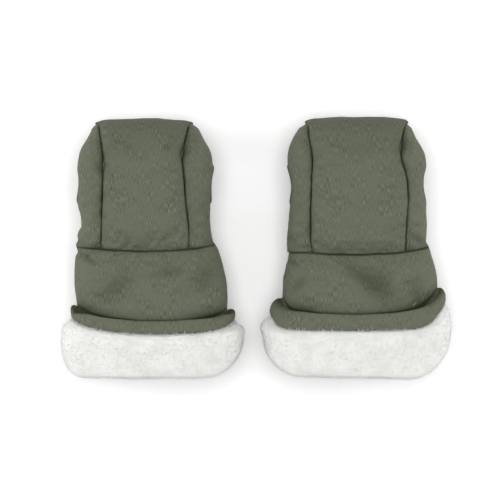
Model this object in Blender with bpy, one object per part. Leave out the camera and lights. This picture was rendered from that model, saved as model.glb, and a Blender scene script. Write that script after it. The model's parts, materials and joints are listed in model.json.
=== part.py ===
"""A pair of padded hand muffs for a pushchair handlebar, lying flat on their undersides.

Each muff is a sewn mitt: softshell panels outside, wadding and a fleece bag inside, a turned-up
fleece cuff with a rolled hem, and a flap under the tip that opens to let the handlebar in.
Metres, +Z up, tips towards +Y. The origin is on the floor, in the middle of the pair.
"""

import bmesh
import bpy
import numpy as np
from mathutils import Matrix

# Overall sizes of the pair, and the space between the cuffs as the mitts lie
PAIR_GAP = 0.020
MITT_LENGTH = 0.280
LEFT_CUFF_WIDTH = 0.196
RIGHT_CUFF_WIDTH = 0.202
LEFT_BODY_WIDTH = 0.146
RIGHT_BODY_WIDTH = 0.148
LEFT_PANEL_WIDTH = 0.093
RIGHT_PANEL_WIDTH = 0.101
LEFT_LEAN = 0.008
RIGHT_LEAN = -0.001
HAND_HEIGHT = 0.088
WAIST_LENGTH = 0.142
TIP_RADIUS = 0.044

# The cuff: its length back from the mouth, its hem, and how they rise and stand off at the sides
LEFT_CUFF_LENGTH = 0.0655
RIGHT_CUFF_LENGTH = 0.0725
LEFT_HEM_WIDTH = 0.0138
RIGHT_HEM_WIDTH = 0.0160
LEFT_OUTER_RISE = 0.0155
LEFT_INNER_RISE = 0.0120
RIGHT_INNER_RISE = 0.0165
RIGHT_OUTER_RISE = 0.0275
HEM_THICKNESS = 0.0064
HEM_POCKET = 0.0055
CUFF_THICKNESS = 0.012
CUFF_LIP = 0.015
CUFF_SPREAD = 0.035
CORNER_WIDTH = 0.050
CORNER_DROP = 0.036
FLOOR_CUT = 0.0006

# Height of the hand's underside above the floor
HAND_LIFT = 0.003

# Layers, and the gap between pieces that touch
SHELL_THICKNESS = 0.003
WADDING_THICKNESS = 0.003
LINING_THICKNESS = 0.004
SEAM_GAP = 0.0004
LAYER_GAP = 0.0005
WADDING_GAP = 0.0016

# Padding that stands up between the seams
CENTRE_CROWN = 0.003
SIDE_CROWN = 0.003
WRIST_CROWN = 0.0035

# The way for the handlebar, across the mitt
BAR_WAY_RADIUS = 0.019
BAR_WAY_SHARE = 0.486
BINDING_THICKNESS = 0.002
BINDING_STAND_OUT = 0.0004
BINDING_BULGE = 0.0014

# The flap under the handlebar
FLAP_MARGIN = 0.0168
FLAP_HEIGHT = 0.0016
FACING_THICKNESS = 0.004

# Press studs
STUD_COUNT = 2
STUD_SPACING = 0.052
STUD_RADIUS = 0.0062
STUD_SHANK_RADIUS = 0.0018
STUD_CAP_THICKNESS = 0.0010
STUD_SOCKET_HEIGHT = 0.0020
STUD_POST_RADIUS = 0.0029
STUD_DISC_THICKNESS = 0.0008
STUD_CLEARANCE = 0.0003
CAP_DOME_SHARES = (0.7, 0.9, 0.3)

# How far cutting tools run past what they cut
OVERRUN = 0.010

# Fullness of sections and crowns: 2 is an ellipse, more is squarer
TOP_POWER = 2.6
LOW_POWER = 4.0
TIP_POWER = 2.35
CROWN_POWER = 3.0
WRIST_POWER = 0.7
TIP_INSET_SHARE = 1.6
END_FADE_SHARE = 0.25

# Shares along the sleeve's length, with the waist seam at one of them, and the heights there
ALONG_SHARES = (0.0, 0.07, 0.145, 0.235, 0.33, 0.42, 0.48, 0.535, 0.64, 0.77, 0.83, 1.0)
WAIST_SHARE = 0.535
TOP_HEIGHT_SHARES = (1.0, 1.0, 1.0, 1.0, 0.995, 0.975, 0.93, 0.875, 0.88, 0.91, 0.93, 0.96)
LOW_HEIGHT_SHARES = (0.0, 0.0, 0.0, 0.0, 0.0, 0.0, 0.02, 0.10, 0.45, 0.90, 1.0, 1.0)

# Half widths of each side of each mitt there, as shares of half the body's width
LEFT_OUTER_SHARES = (0.78, 0.858, 0.956, 0.984, 0.988, 0.94, 1.008, 1.04, 1.105, 1.116, 1.12, 1.12)
LEFT_INNER_SHARES = (0.75, 0.86, 0.97, 0.964, 0.942, 0.949, 0.979, 1.055, 1.092, 1.104, 1.11, 1.11)
RIGHT_INNER_SHARES = (0.813, 0.94, 1.008, 1.009, 0.982, 1.004, 1.032, 1.017, 1.066, 1.093, 1.1, 1.1)
RIGHT_OUTER_SHARES = (0.776, 0.85, 0.958, 0.968, 0.978, 0.993, 0.989, 1.054, 1.145, 1.15, 1.15, 1.15)

# Seams of each side of the centre panel there, as shares of half the panel's width
LEFT_OUTER_SEAM_SHARES = (1.095, 1.009, 0.951, 0.953, 0.972, 0.987, 0.996, 1.043) + (1.0,) * 4
LEFT_INNER_SEAM_SHARES = (1.04, 0.957, 0.862, 0.897, 0.929, 0.987, 1.006, 0.989) + (1.0,) * 4
RIGHT_INNER_SEAM_SHARES = (1.07, 1.057, 1.016, 1.024, 1.04, 1.051, 1.042, 1.016) + (1.0,) * 4
RIGHT_OUTER_SEAM_SHARES = (1.02, 0.923, 0.852, 0.968, 1.002, 0.97, 0.968, 0.974) + (1.0,) * 4

# Where the lean of the hand over the cuff begins and ends, between the waist and the mouth
LEAN_START_SHARE = -0.18
LEAN_END_SHARE = 0.46

# Each side's shares of the mouth corner's width and drop, and of the hem's pocket
LEFT_OUTER_CORNER_SHARES = (0.60, 0.66, 0.1)
LEFT_INNER_CORNER_SHARES = (1.05, 0.92, 0.4)
RIGHT_INNER_CORNER_SHARES = (0.84, 0.75, 1.0)
RIGHT_OUTER_CORNER_SHARES = (1.00, 1.00, 0.4)

# The rise of the cuff's edge towards the sides: a slow part and a steep part
RISE_POWERS = (2, 10)
RISE_SHARES = (0.35, 0.65)
POCKET_POWER = 6
CORNER_POWER = 3

# The fleece's outline: 0 along the sleeve is under the hem, 1 the sleeve's end, 2 the mouth
FLEECE_ALONG_SHARES = (1.0,) * 4 + (1.55, 1.9, 2.0, 1.85, 1.3, 0.74, 0.22, 0.05, 0.0, 0.05, 0.5, 1.0)
FLEECE_STAND_SHARES = (-0.1, -0.35, -0.65, -1.0, -0.95, -0.6, 0.0, 0.6, 0.92, 1.0, 0.98, 0.8, 0.45)
FLEECE_STAND_SHARES += (0.1,) * 3
FLEECE_RISE_SHARES = (0.0,) * 8 + (0.1, 0.35, 0.8, 1.0, 1.0, 1.0, 0.5, 0.0)
FLEECE_POCKET_SHARES = (0.0,) * 10 + (0.5, 0.8, 0.8, 0.8, 0.3, 0.0)

# Faces along and around the pieces
TOP_ROWS = 10
TIP_ROWS = 6
PALM_ROWS = 9
WRIST_ROWS = 7
FLAP_ROWS = 10
FACING_ROWS = 6
BAG_TIP_ROWS = 4
ARCH_ROWS = 11
CUTTER_ROWS = 13
PANEL_COLUMNS = 6
SIDE_COLUMNS = 8
RING_COLUMNS = 28
BAG_COLUMNS = 20
HEM_COLUMNS = 8
STUD_SIDES = 10

PAIR_SPAN = LEFT_CUFF_WIDTH + RIGHT_CUFF_WIDTH + PAIR_GAP
SLEEVE_LENGTH = MITT_LENGTH - CUFF_LIP
BAR_WAY_DISTANCE = BAR_WAY_SHARE * WAIST_LENGTH

COLOURS = {
    "softshell": ("686B5C", 0.85),
    "sherpa": ("ECEBE6", 0.95),
    "wadding": ("D9D8D2", 0.95),
    "binding": ("4A4E40", 0.80),
    "stud": ("3C3D3A", 0.45),
}


def linear(code):
    """The linear colour of a hex sRGB code."""
    values = np.array([int(code[i : i + 2], 16) / 255 for i in (0, 2, 4)])
    return np.where(values <= 0.04045, values / 12.92, ((values + 0.055) / 1.055) ** 2.4)


def material(name):
    """One Principled material of the part."""
    found = bpy.data.materials.get(name)
    if found:
        return found
    code, roughness = COLOURS[name]
    made = bpy.data.materials.new(name)
    made.use_nodes = True
    shader = made.node_tree.nodes["Principled BSDF"]
    colour = (*linear(code), 1.0)
    shader.inputs["Base Color"].default_value = colour
    shader.inputs["Roughness"].default_value = roughness
    shader.inputs["Metallic"].default_value = 1.0 if name == "stud" else 0.0
    made.diffuse_color = colour
    return made


def curve(values, at):
    """A smooth curve through values at ALONG_SHARES, read at the given shares of the sleeve."""
    shares = np.array(ALONG_SHARES)
    values = np.array(values)
    slopes = np.gradient(values, shares)
    at = np.clip(at, 0, 1)
    i = np.clip(np.searchsorted(shares, at, side="right") - 1, 0, len(shares) - 2)
    span = shares[i + 1] - shares[i]
    t = (at - shares[i]) / span
    start = (1 + 2 * t) * (1 - t) ** 2 * values[i] + t * (1 - t) ** 2 * span * slopes[i]
    end = t * t * (3 - 2 * t) * values[i + 1] + t * t * (t - 1) * span * slopes[i + 1]
    return start + end


def smooth_step(value):
    value = np.clip(value, 0, 1)
    return value * value * (3 - 2 * value)


def along(s):
    """Share along the sleeve of a distance from the tip, with the waist seam at its own share."""
    return np.interp(s, (0, WAIST_LENGTH, SLEEVE_LENGTH), (0, WAIST_SHARE, 1))


class Side:
    """One side of one mitt: its width and seam tables, and its cuff's rise, corner and pocket."""

    def __init__(self, width_shares, seam_shares, rise, corner_shares):
        width_share, drop_share, pocket_share = corner_shares
        self.width_shares = width_shares
        self.seam_shares = seam_shares
        self.rise = rise
        self.corner_width = CORNER_WIDTH * width_share
        self.corner_drop = CORNER_DROP * drop_share
        self.pocket = HEM_POCKET * pocket_share


class Mitt:
    """The sizes of one mitt, and its seam surface: the form without the padding's crowns."""

    def __init__(self, name, outside, widths, lean, cuff_length, hem_width, low_side, high_side):
        self.name = name
        self.outside = outside
        self.cuff_width, self.body_width, self.panel_width = widths
        self.lean = lean
        self.hem_distance = MITT_LENGTH - cuff_length
        self.hem_width = hem_width
        self.low_side = low_side
        self.high_side = high_side
        self.cuff_x = outside * (PAIR_SPAN - self.cuff_width) / 2
        self.tip_y = MITT_LENGTH / 2 - CENTRE_CROWN

    def by_side(self, side, value):
        """A value of the low or the high side, by the sign of side."""
        return np.where(side < 0, value(self.low_side), value(self.high_side))

    def half_width(self, s, side):
        """Half the width of the seam surface on one side, at a distance from the tip."""
        share = self.by_side(side, lambda one: curve(one.width_shares, along(s)))
        sleeve = self.cuff_width / 2 - CUFF_THICKNESS
        into_cuff = smooth_step((s - self.hem_distance) / CUFF_SPREAD)
        body = self.body_width / 2 * share - SIDE_CROWN
        return body * (1 - into_cuff) + sleeve * into_cuff

    def seam_distance(self, s, side):
        """How far across from the middle the centre panel's seam is on one side."""
        share = self.by_side(side, lambda one: curve(one.seam_shares, along(s)))
        return self.panel_width / 2 * share

    def tip_share(self, s):
        """How far the section has opened between the tip's ridge and its full height."""
        u = np.clip(1 - s / TIP_RADIUS, 0, 1)
        return (1 - u**TIP_POWER) ** (1 / TIP_POWER)

    def top_and_low(self, s, inset=0.0, low_inset=0.0):
        """Heights of the top and the underside, with the ridge of the tip at mid height."""
        top = (HAND_HEIGHT - CENTRE_CROWN) * curve(TOP_HEIGHT_SHARES, along(s)) - inset
        low = HAND_LIFT + (CUFF_THICKNESS - HAND_LIFT) * curve(LOW_HEIGHT_SHARES, along(s))
        low = low + inset + low_inset
        middle = (top + low) / 2
        rise = (top - low) / 2 * self.tip_share(s - TIP_INSET_SHARE * inset)
        return middle + rise, middle - rise

    def angle_at(self, x, s, power):
        """The section's angle, from the side, at a distance across from the middle."""
        share = np.clip(np.abs(x) / self.half_width(s, np.sign(x)), 0, 1)
        angle = np.arccos(share ** (power / 2))
        return np.where(x < 0, np.pi - angle, angle)

    def point(self, s, angle, inset=0.0, low_inset=0.0):
        """A point of the section: angle 0 is +X, a quarter turn is the top."""
        s, angle = np.broadcast_arrays(s, angle)
        cosine = np.cos(angle)
        sine = np.sin(angle)
        power = np.where(sine >= 0, TOP_POWER, LOW_POWER)
        top, low = self.top_and_low(s, inset, low_inset)
        width = self.half_width(s, cosine) - inset
        x = width * np.sign(cosine) * np.abs(cosine) ** (2 / power)
        z = (top + low) / 2 + (top - low) / 2 * np.sign(sine) * np.abs(sine) ** (2 / power)
        return np.stack([x, s, z], axis=-1)

    def fullness(self, points):
        """Zero on the seam surface, above zero outside it."""
        x, s, z = points[..., 0], points[..., 1], points[..., 2]
        top, low = self.top_and_low(s)
        middle = (top + low) / 2
        rise = np.maximum((top - low) / 2, SEAM_GAP)
        power = np.where(z >= middle, TOP_POWER, LOW_POWER)
        across = np.abs(x / self.half_width(s, x))
        return across**power + np.abs((z - middle) / rise) ** power - 1

    def normals(self, points):
        """Outward directions of the seam surface, by small steps of its fullness."""
        step = SEAM_GAP / 10
        sums = []
        for axis in range(3):
            shift = np.zeros(3)
            shift[axis] = step
            sums.append(self.fullness(points + shift) - self.fullness(points - shift))
        found = np.stack(sums, axis=-1)
        return found / np.linalg.norm(found, axis=-1, keepdims=True)

    def wrist_rise(self, s):
        """How far the padded wrist stands up from the seam surface, between seam and hem."""
        share = np.clip((s - WAIST_LENGTH) / (self.hem_distance - WAIST_LENGTH), 0, 1)
        return WRIST_CROWN * np.sin(np.pi * share) ** WRIST_POWER

    def to_world(self, points):
        """From (across, from the tip, up) to the pair's frame: the hand leans over its cuff,
        and the mouth is drawn back at its corners."""
        x, s, z = points[..., 0], points[..., 1], points[..., 2]
        wrist = MITT_LENGTH - WAIST_LENGTH
        start = WAIST_LENGTH + wrist * LEAN_START_SHARE
        end = WAIST_LENGTH + wrist * LEAN_END_SHARE
        leaning = 1 - smooth_step((s - start) / (end - start))
        width = self.by_side(x, lambda side: side.corner_width)
        corner = np.clip(1 - (self.cuff_width / 2 - np.abs(x)) / width, 0, 1)
        drop = self.by_side(x, lambda side: side.corner_drop) * corner**CORNER_POWER
        drop = drop * smooth_step((s - self.hem_distance) / (MITT_LENGTH - self.hem_distance))
        return np.stack([self.cuff_x - self.lean * leaning + x, self.tip_y - s + drop, z], axis=-1)


LEFT = Mitt(
    "left",
    -1,
    (LEFT_CUFF_WIDTH, LEFT_BODY_WIDTH, LEFT_PANEL_WIDTH),
    LEFT_LEAN,
    LEFT_CUFF_LENGTH,
    LEFT_HEM_WIDTH,
    Side(
        LEFT_OUTER_SHARES,
        LEFT_OUTER_SEAM_SHARES,
        LEFT_OUTER_RISE,
        LEFT_OUTER_CORNER_SHARES,
    ),
    Side(
        LEFT_INNER_SHARES,
        LEFT_INNER_SEAM_SHARES,
        LEFT_INNER_RISE,
        LEFT_INNER_CORNER_SHARES,
    ),
)
RIGHT = Mitt(
    "right",
    1,
    (RIGHT_CUFF_WIDTH, RIGHT_BODY_WIDTH, RIGHT_PANEL_WIDTH),
    RIGHT_LEAN,
    RIGHT_CUFF_LENGTH,
    RIGHT_HEM_WIDTH,
    Side(
        RIGHT_INNER_SHARES,
        RIGHT_INNER_SEAM_SHARES,
        RIGHT_INNER_RISE,
        RIGHT_INNER_CORNER_SHARES,
    ),
    Side(
        RIGHT_OUTER_SHARES,
        RIGHT_OUTER_SEAM_SHARES,
        RIGHT_OUTER_RISE,
        RIGHT_OUTER_CORNER_SHARES,
    ),
)

BAR_CUT_RADIUS = BAR_WAY_RADIUS + BINDING_THICKNESS + SEAM_GAP
BAR_HEIGHT = HAND_LIFT + (HAND_HEIGHT - CENTRE_CROWN - HAND_LIFT) / 2
HINGE_DISTANCE = BAR_WAY_DISTANCE - BAR_CUT_RADIUS - SEAM_GAP
PALM_DISTANCE = BAR_WAY_DISTANCE + BAR_CUT_RADIUS
FLAP_END = WAIST_LENGTH - FLAP_MARGIN
STUD_DISTANCE = FLAP_END - 2 * STUD_RADIUS
SOCKET_TOP = FLAP_HEIGHT + SHELL_THICKNESS + LAYER_GAP + STUD_SOCKET_HEIGHT
PALM_HEIGHT = SOCKET_TOP + STUD_DISC_THICKNESS + 2 * STUD_CLEARANCE
PALM_TOP = PALM_HEIGHT + SHELL_THICKNESS
BAG_LOW = PALM_TOP + STUD_DISC_THICKNESS + 2 * STUD_CLEARANCE
WADDING_INSET = SHELL_THICKNESS + WADDING_GAP
LINING_INSET = WADDING_INSET + WADDING_THICKNESS + LAYER_GAP


def add_object(name, mesh, colour):
    """Link a mesh as a named object with its faces pointing out."""
    shape = bmesh.new()
    shape.from_mesh(mesh)
    bmesh.ops.recalc_face_normals(shape, faces=shape.faces)
    if shape.calc_volume(signed=True) < 0:
        bmesh.ops.reverse_faces(shape, faces=shape.faces)
    shape.to_mesh(mesh)
    shape.free()
    mesh.shade_smooth()
    mesh.set_sharp_from_angle(angle=np.radians(50))
    made = bpy.data.objects.new(name, mesh)
    made.data.materials.append(material(colour))
    bpy.context.scene.collection.objects.link(made)
    return made


def sheet_solid(name, outer, inner, colour):
    """A closed sheet between two grids of points with the same rows and columns."""
    rows, columns = outer.shape[:2]
    points = np.concatenate([outer.reshape(-1, 3), inner.reshape(-1, 3)])
    index = np.arange(rows * columns).reshape(rows, columns)
    a, b, c, d = index[:-1, :-1], index[:-1, 1:], index[1:, 1:], index[1:, :-1]
    outside = np.stack([a, b, c, d], axis=-1).reshape(-1, 4)
    inside = outside[:, ::-1] + rows * columns
    rim = np.concatenate([index[0, :-1], index[:-1, -1], index[-1, :0:-1], index[:0:-1, 0]])
    after = np.roll(rim, -1)
    edge = np.stack([after, rim, rim + rows * columns, after + rows * columns], axis=-1)
    mesh = bpy.data.meshes.new(name)
    mesh.from_pydata(points.tolist(), [], np.concatenate([outside, inside, edge]).tolist())
    return add_object(name, mesh, colour)


def ring_solid(name, rings, colour):
    """A closed ring: rows of points round the loop, the last row joined to the first."""
    rows, columns = rings.shape[:2]
    index = np.arange(rows * columns).reshape(rows, columns)
    below = np.roll(index, -1, axis=0)
    faces = np.stack(
        [index, np.roll(index, -1, axis=1), np.roll(below, -1, axis=1), below], axis=-1
    )
    mesh = bpy.data.meshes.new(name)
    mesh.from_pydata(rings.reshape(-1, 3).tolist(), [], faces.reshape(-1, 4).tolist())
    return add_object(name, mesh, colour)


def bag_solid(name, outer, inner, colour):
    """A bag: two nested tubes of rings, each closed at the tip, joined round the mouth."""
    rings = np.concatenate([outer, inner[::-1]])
    rows, columns = rings.shape[:2]
    index = np.arange(rows * columns).reshape(rows, columns)
    a, d = index[:-1], index[1:]
    faces = np.stack([a, np.roll(a, -1, axis=1), np.roll(d, -1, axis=1), d], axis=-1)
    half = columns // 2
    strips = []
    for row in (index[0], index[-1]):
        upper = row[: half + 1]
        lower = np.concatenate([row[:1], row[:half - 1:-1]])
        strips.append(cap_strip(upper, lower))
    mesh = bpy.data.meshes.new(name)
    mesh.from_pydata(rings.reshape(-1, 3).tolist(), [], faces.reshape(-1, 4).tolist() + sum(strips, []))
    return add_object(name, mesh, colour)


def cap_strip(upper, lower):
    """Faces between the upper and the lower half of a flat end, from one side to the other."""
    faces = [[int(upper[0]), int(upper[1]), int(lower[1])]]
    for i in range(1, len(upper) - 2):
        faces.append([int(upper[i]), int(upper[i + 1]), int(lower[i + 1]), int(lower[i])])
    faces.append([int(upper[-2]), int(upper[-1]), int(lower[-2])])
    return faces


def crown(rows, columns):
    """A pillow's rise over a grid: full in the middle and nothing at the side seams."""
    across = np.linspace(-1, 1, columns)[None, :]
    return np.repeat(1 - np.abs(across) ** CROWN_POWER, rows, axis=0)


def end_fade(count, start, end):
    """One along the rows, falling to zero at the chosen ends, where a seam draws them in."""
    share = np.linspace(0, 1, count)[:, None]
    fade = np.ones_like(share)
    if start:
        fade = fade * (1 - (1 - np.clip(share / END_FADE_SHARE, 0, 1)) ** 2)
    if end:
        fade = fade * (1 - (1 - np.clip((1 - share) / END_FADE_SHARE, 0, 1)) ** 2)
    return fade


def cut(target, cutter):
    """Take a cutting body out of a piece; the cutter itself isn't part of the object."""
    hole = target.modifiers.new("way", "BOOLEAN")
    hole.object = cutter
    hole.operation = "DIFFERENCE"
    hole.solver = "EXACT"
    cutter.hide_render = True
    cutter.display_type = "WIRE"


def centre_panel(mitt):
    """The strip over the back of the hand, round the tip and under it to the flap."""
    waist = WAIST_LENGTH - SEAM_GAP / 2
    top = np.linspace(waist, TIP_RADIUS, TOP_ROWS, endpoint=False)
    turn = np.linspace(0, np.pi / 2, TIP_ROWS + 1)
    round_tip = TIP_RADIUS * (1 - np.cos(turn) ** (2 / TIP_POWER))
    upper = np.concatenate([top, round_tip[:0:-1]])
    lower = np.concatenate([round_tip[1:], [HINGE_DISTANCE - SEAM_GAP / 2]])
    across = np.linspace(-1, 1, PANEL_COLUMNS + 1)[None, :]

    def strip(s, low):
        s = s[:, None]
        power = LOW_POWER if low else TOP_POWER
        x = (mitt.seam_distance(s, across) - SEAM_GAP / 2) * across
        angle = mitt.angle_at(x, s, power)
        return mitt.point(s, -angle if low else angle)

    ridge = strip(np.array([0.0]), False)
    base = np.concatenate([strip(upper, False), ridge, strip(lower, True)])
    normals = mitt.normals(base)
    normals[len(upper)] = (0, -1, 0)
    height = CENTRE_CROWN * crown(*base.shape[:2]) * end_fade(len(base), True, False)
    outer = base + normals * height[..., None]
    outer[..., 2] = np.maximum(outer[..., 2], 0)
    inner = base - normals * SHELL_THICKNESS
    name = mitt.name + "_centre_panel"
    return sheet_solid(name, mitt.to_world(outer), mitt.to_world(inner), "softshell")


def side_panel(mitt, side, cutter):
    """One gusset: from the top seam round the side to the bottom seam, with the bar's way."""
    start = SEAM_GAP
    turn = np.linspace(0, np.pi / 2, TIP_ROWS + 1)[1:]
    round_tip = TIP_RADIUS * (1 - np.cos(turn) ** (2 / TIP_POWER))
    rest = np.linspace(TIP_RADIUS, WAIST_LENGTH - SEAM_GAP / 2, TOP_ROWS + 1)[1:]
    s = np.concatenate([[start], round_tip, rest])[:, None]
    seam = mitt.seam_distance(s, side) + SEAM_GAP / 2 + SHELL_THICKNESS / 2 * (1 - mitt.tip_share(s))
    upper = mitt.angle_at(side * seam, s, TOP_POWER)
    lower = -mitt.angle_at(side * seam, s, LOW_POWER)
    share = np.linspace(0, 1, SIDE_COLUMNS + 1)[None, :]
    if side < 0:
        lower = lower + 2 * np.pi
    angle = upper + (lower - upper) * share
    base = mitt.point(s, angle)
    normals = mitt.normals(base)
    height = SIDE_CROWN * crown(*base.shape[:2]) * end_fade(len(base), True, True)
    outer = base + normals * height[..., None]
    inner = base - normals * SHELL_THICKNESS
    place = "outer" if side == mitt.outside else "inner"
    name = f"{mitt.name}_{place}_side_panel"
    made = sheet_solid(name, mitt.to_world(outer), mitt.to_world(inner), "softshell")
    cut(made, cutter)
    return made


def bar_cutter(mitt):
    """The handlebar's way: a round channel across the mitt, open downwards to the flap."""
    turn = np.linspace(0, np.pi, CUTTER_ROWS)
    s = BAR_WAY_DISTANCE - BAR_CUT_RADIUS * np.cos(turn)
    z = BAR_HEIGHT + BAR_CUT_RADIUS * np.sin(turn)
    s = np.concatenate([s[:1], s, s[-1:]])
    z = np.concatenate([[-OVERRUN], z, [-OVERRUN]])
    reach = mitt.cuff_width / 2 + OVERRUN
    ends = [np.stack([np.full(len(s), x), s, z], axis=-1) for x in (-reach, reach)]
    points = mitt.to_world(np.concatenate(ends))
    count = len(s)
    faces = [list(range(count)), list(range(2 * count - 1, count - 1, -1))]
    for i in range(count):
        j = (i + 1) % count
        faces.append([j, i, i + count, j + count])
    mesh = bpy.data.meshes.new(mitt.name + "_bar_cutter")
    mesh.from_pydata(points.tolist(), [], faces)
    made = add_object(mitt.name + "_bar_cutter", mesh, "binding")
    made.hide_render = True
    made.display_type = "WIRE"
    return made


def stud_places(mitt):
    """Where the press studs sit across the flap."""
    return [(i - (STUD_COUNT - 1) / 2) * STUD_SPACING for i in range(STUD_COUNT)]


def hole_cutters(mitt, label, low, high):
    """The round pins that make the studs' holes in a sheet."""
    pins = []
    radius = STUD_SHANK_RADIUS + STUD_CLEARANCE
    for i, x in enumerate(stud_places(mitt)):
        mesh = bpy.data.meshes.new(f"{mitt.name}_{label}_hole_cutter_{i + 1}")
        pin = bmesh.new()
        bmesh.ops.create_cone(
            pin,
            cap_ends=True,
            segments=STUD_SIDES,
            radius1=radius,
            radius2=radius,
            depth=high - low,
        )
        place = mitt.to_world(np.array([x, STUD_DISTANCE, (low + high) / 2]))
        bmesh.ops.transform(pin, matrix=Matrix.Translation(place.tolist()), verts=pin.verts)
        pin.to_mesh(mesh)
        pin.free()
        pins.append(add_object(mesh.name, mesh, "binding"))
    return pins


def palm_panel(mitt):
    """The underside behind the handlebar, stepped up over the flap."""
    s = np.linspace(PALM_DISTANCE, WAIST_LENGTH - SEAM_GAP / 2, PALM_ROWS)[:, None]
    across = np.linspace(-1, 1, PANEL_COLUMNS + 1)[None, :]
    step = smooth_step((WAIST_LENGTH - s) / FLAP_MARGIN)
    x = (mitt.seam_distance(s, across) - SEAM_GAP / 2 - SHELL_THICKNESS * step) * across
    base = mitt.point(s, -mitt.angle_at(x, s, LOW_POWER))
    normals = mitt.normals(base) * (1 - step[..., None]) + np.array([0, 0, -1]) * step[..., None]
    outer = base.copy()
    outer[..., 2] += (PALM_HEIGHT - base[..., 2]) * step
    inner = outer - normals * SHELL_THICKNESS
    name = mitt.name + "_palm_panel"
    made = sheet_solid(name, mitt.to_world(outer), mitt.to_world(inner), "softshell")
    for pin in hole_cutters(mitt, "palm", PALM_HEIGHT - OVERRUN, PALM_TOP + OVERRUN):
        cut(made, pin)
    return made


def wrist_panel(mitt):
    """The sleeve from the waist seam to the mouth, puffed between the seam and the hem."""
    puffed = np.linspace(WAIST_LENGTH + SEAM_GAP / 2, mitt.hem_distance, WRIST_ROWS)
    plain = np.linspace(mitt.hem_distance, SLEEVE_LENGTH, WRIST_ROWS // 2)
    s = np.concatenate([puffed, plain[1:]])[:, None]
    angle = np.linspace(0, 2 * np.pi, RING_COLUMNS, endpoint=False)[None, :]
    base = mitt.point(s, angle)
    normals = mitt.normals(base)
    outer = base + normals * mitt.wrist_rise(s)[..., None]
    inner = (base - normals * SHELL_THICKNESS)[::2]
    rings = np.concatenate([outer, inner[::-1]])
    return ring_solid(mitt.name + "_wrist_panel", mitt.to_world(rings), "softshell")


def bag(mitt, label, inset, thickness, colour, cutter):
    """One layer of the bag inside the shell, with the handlebar's way through it."""
    low = BAG_LOW - HAND_LIFT

    def tube(depth):
        turn = np.linspace(np.pi / 6, np.pi / 2, BAG_TIP_ROWS)
        round_tip = TIP_RADIUS * (1 - np.cos(turn) ** (2 / TIP_POWER)) + TIP_INSET_SHARE * depth
        knots = np.interp(ALONG_SHARES, (0, WAIST_SHARE, 1), (0, WAIST_LENGTH, SLEEVE_LENGTH))
        rest = knots[knots > round_tip[-1] + TIP_RADIUS / 2]
        s = np.concatenate([round_tip, rest])[:, None]
        angle = np.linspace(0, 2 * np.pi, BAG_COLUMNS, endpoint=False)[None, :]
        sleeve = smooth_step((s - WAIST_LENGTH) / (mitt.hem_distance - WAIST_LENGTH))
        extra = (low - SHELL_THICKNESS) * (1 - sleeve)
        return mitt.to_world(mitt.point(s, angle, depth, extra))

    name = f"{mitt.name}_{label}"
    made = bag_solid(name, tube(inset), tube(inset + thickness), colour)
    cut(made, cutter)
    return made


def way_binding(mitt, side):
    """The tape round one U-shaped way, from the underside over the handlebar and down again."""
    radius = BAR_CUT_RADIUS - SEAM_GAP
    foot = BAG_LOW
    turn = np.linspace(0, np.pi, ARCH_ROWS)
    s = BAR_WAY_DISTANCE - np.cos(turn)[:, None] * np.array([[radius, radius - BINDING_THICKNESS]])
    z = BAR_HEIGHT + np.sin(turn)[:, None] * np.array([[radius, radius - BINDING_THICKNESS]])
    s = np.concatenate([s[:1], s[:1], s, s[-1:], s[-1:]])
    legs = np.array([foot, (foot + BAR_HEIGHT) / 2])[:, None].repeat(2, axis=1)
    z = np.concatenate([legs, z, legs[::-1]])
    top, low = mitt.top_and_low(s)
    middle = (top + low) / 2
    power = np.where(z >= middle, TOP_POWER, LOW_POWER)
    share = np.clip(np.abs((z - middle) / ((top - low) / 2)), 0, 1)
    skin = mitt.half_width(s, side) * (1 - share**power) ** (1 / power)
    over = np.clip((z - BAR_HEIGHT) / BAR_WAY_RADIUS, 0, 1)
    bulge = BINDING_BULGE if side != mitt.outside else 0
    outside = skin + SIDE_CROWN + BINDING_STAND_OUT + bulge * over
    depth = LINING_INSET + LINING_THICKNESS + SIDE_CROWN + BINDING_STAND_OUT
    corners = []
    for column, x in ((0, outside), (1, outside), (1, outside - depth), (0, outside - depth)):
        corners.append(np.stack([side * x[:, column], s[:, column], z[:, column]], axis=-1))
    strip = mitt.to_world(np.stack(corners, axis=1))
    rows = len(strip)
    index = np.arange(rows * 4).reshape(rows, 4)
    a, d = index[:-1], index[1:]
    faces = np.stack([a, np.roll(a, -1, axis=1), np.roll(d, -1, axis=1), d], axis=-1)
    ends = [index[0, ::-1].tolist(), index[-1].tolist()]
    place = "outer" if side == mitt.outside else "inner"
    name = f"{mitt.name}_{place}_way_binding"
    mesh = bpy.data.meshes.new(name)
    mesh.from_pydata(strip.reshape(-1, 3).tolist(), [], faces.reshape(-1, 4).tolist() + ends)
    return add_object(name, mesh, "binding")


def flap_sheet(mitt, start, end, low, thickness, margin, rows):
    """Two grids of a flat sheet under the handlebar, with its free corners rounded off."""
    s = np.linspace(start, end, rows)[:, None]
    corner = 2 * STUD_RADIUS
    into_corner = np.clip((s - (end - corner)) / corner, 0, 1)
    trim = corner * (1 - np.sqrt(1 - into_corner**2)) * (1 - SEAM_GAP / corner)
    across = np.linspace(-1, 1, PANEL_COLUMNS + 1)[None, :]
    x = (mitt.seam_distance(s, across) - margin - trim) * across
    flat = np.broadcast_to(s, x.shape)
    outer = np.stack([x, flat, np.full_like(x, low)], axis=-1)
    inner = np.stack([x, flat, np.full_like(x, low + thickness)], axis=-1)
    return outer, inner


def hang(made, pivot):
    """Put an object's origin on its joint's axis and leave its shape where it is."""
    made.data.transform(Matrix.Translation([-value for value in pivot]))
    made.location = pivot


def hinge_point(mitt):
    """The middle of the fold line of the flap, on the outer face of the shell."""
    return mitt.to_world(np.array([0.0, HINGE_DISTANCE, 0.0])).tolist()


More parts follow.
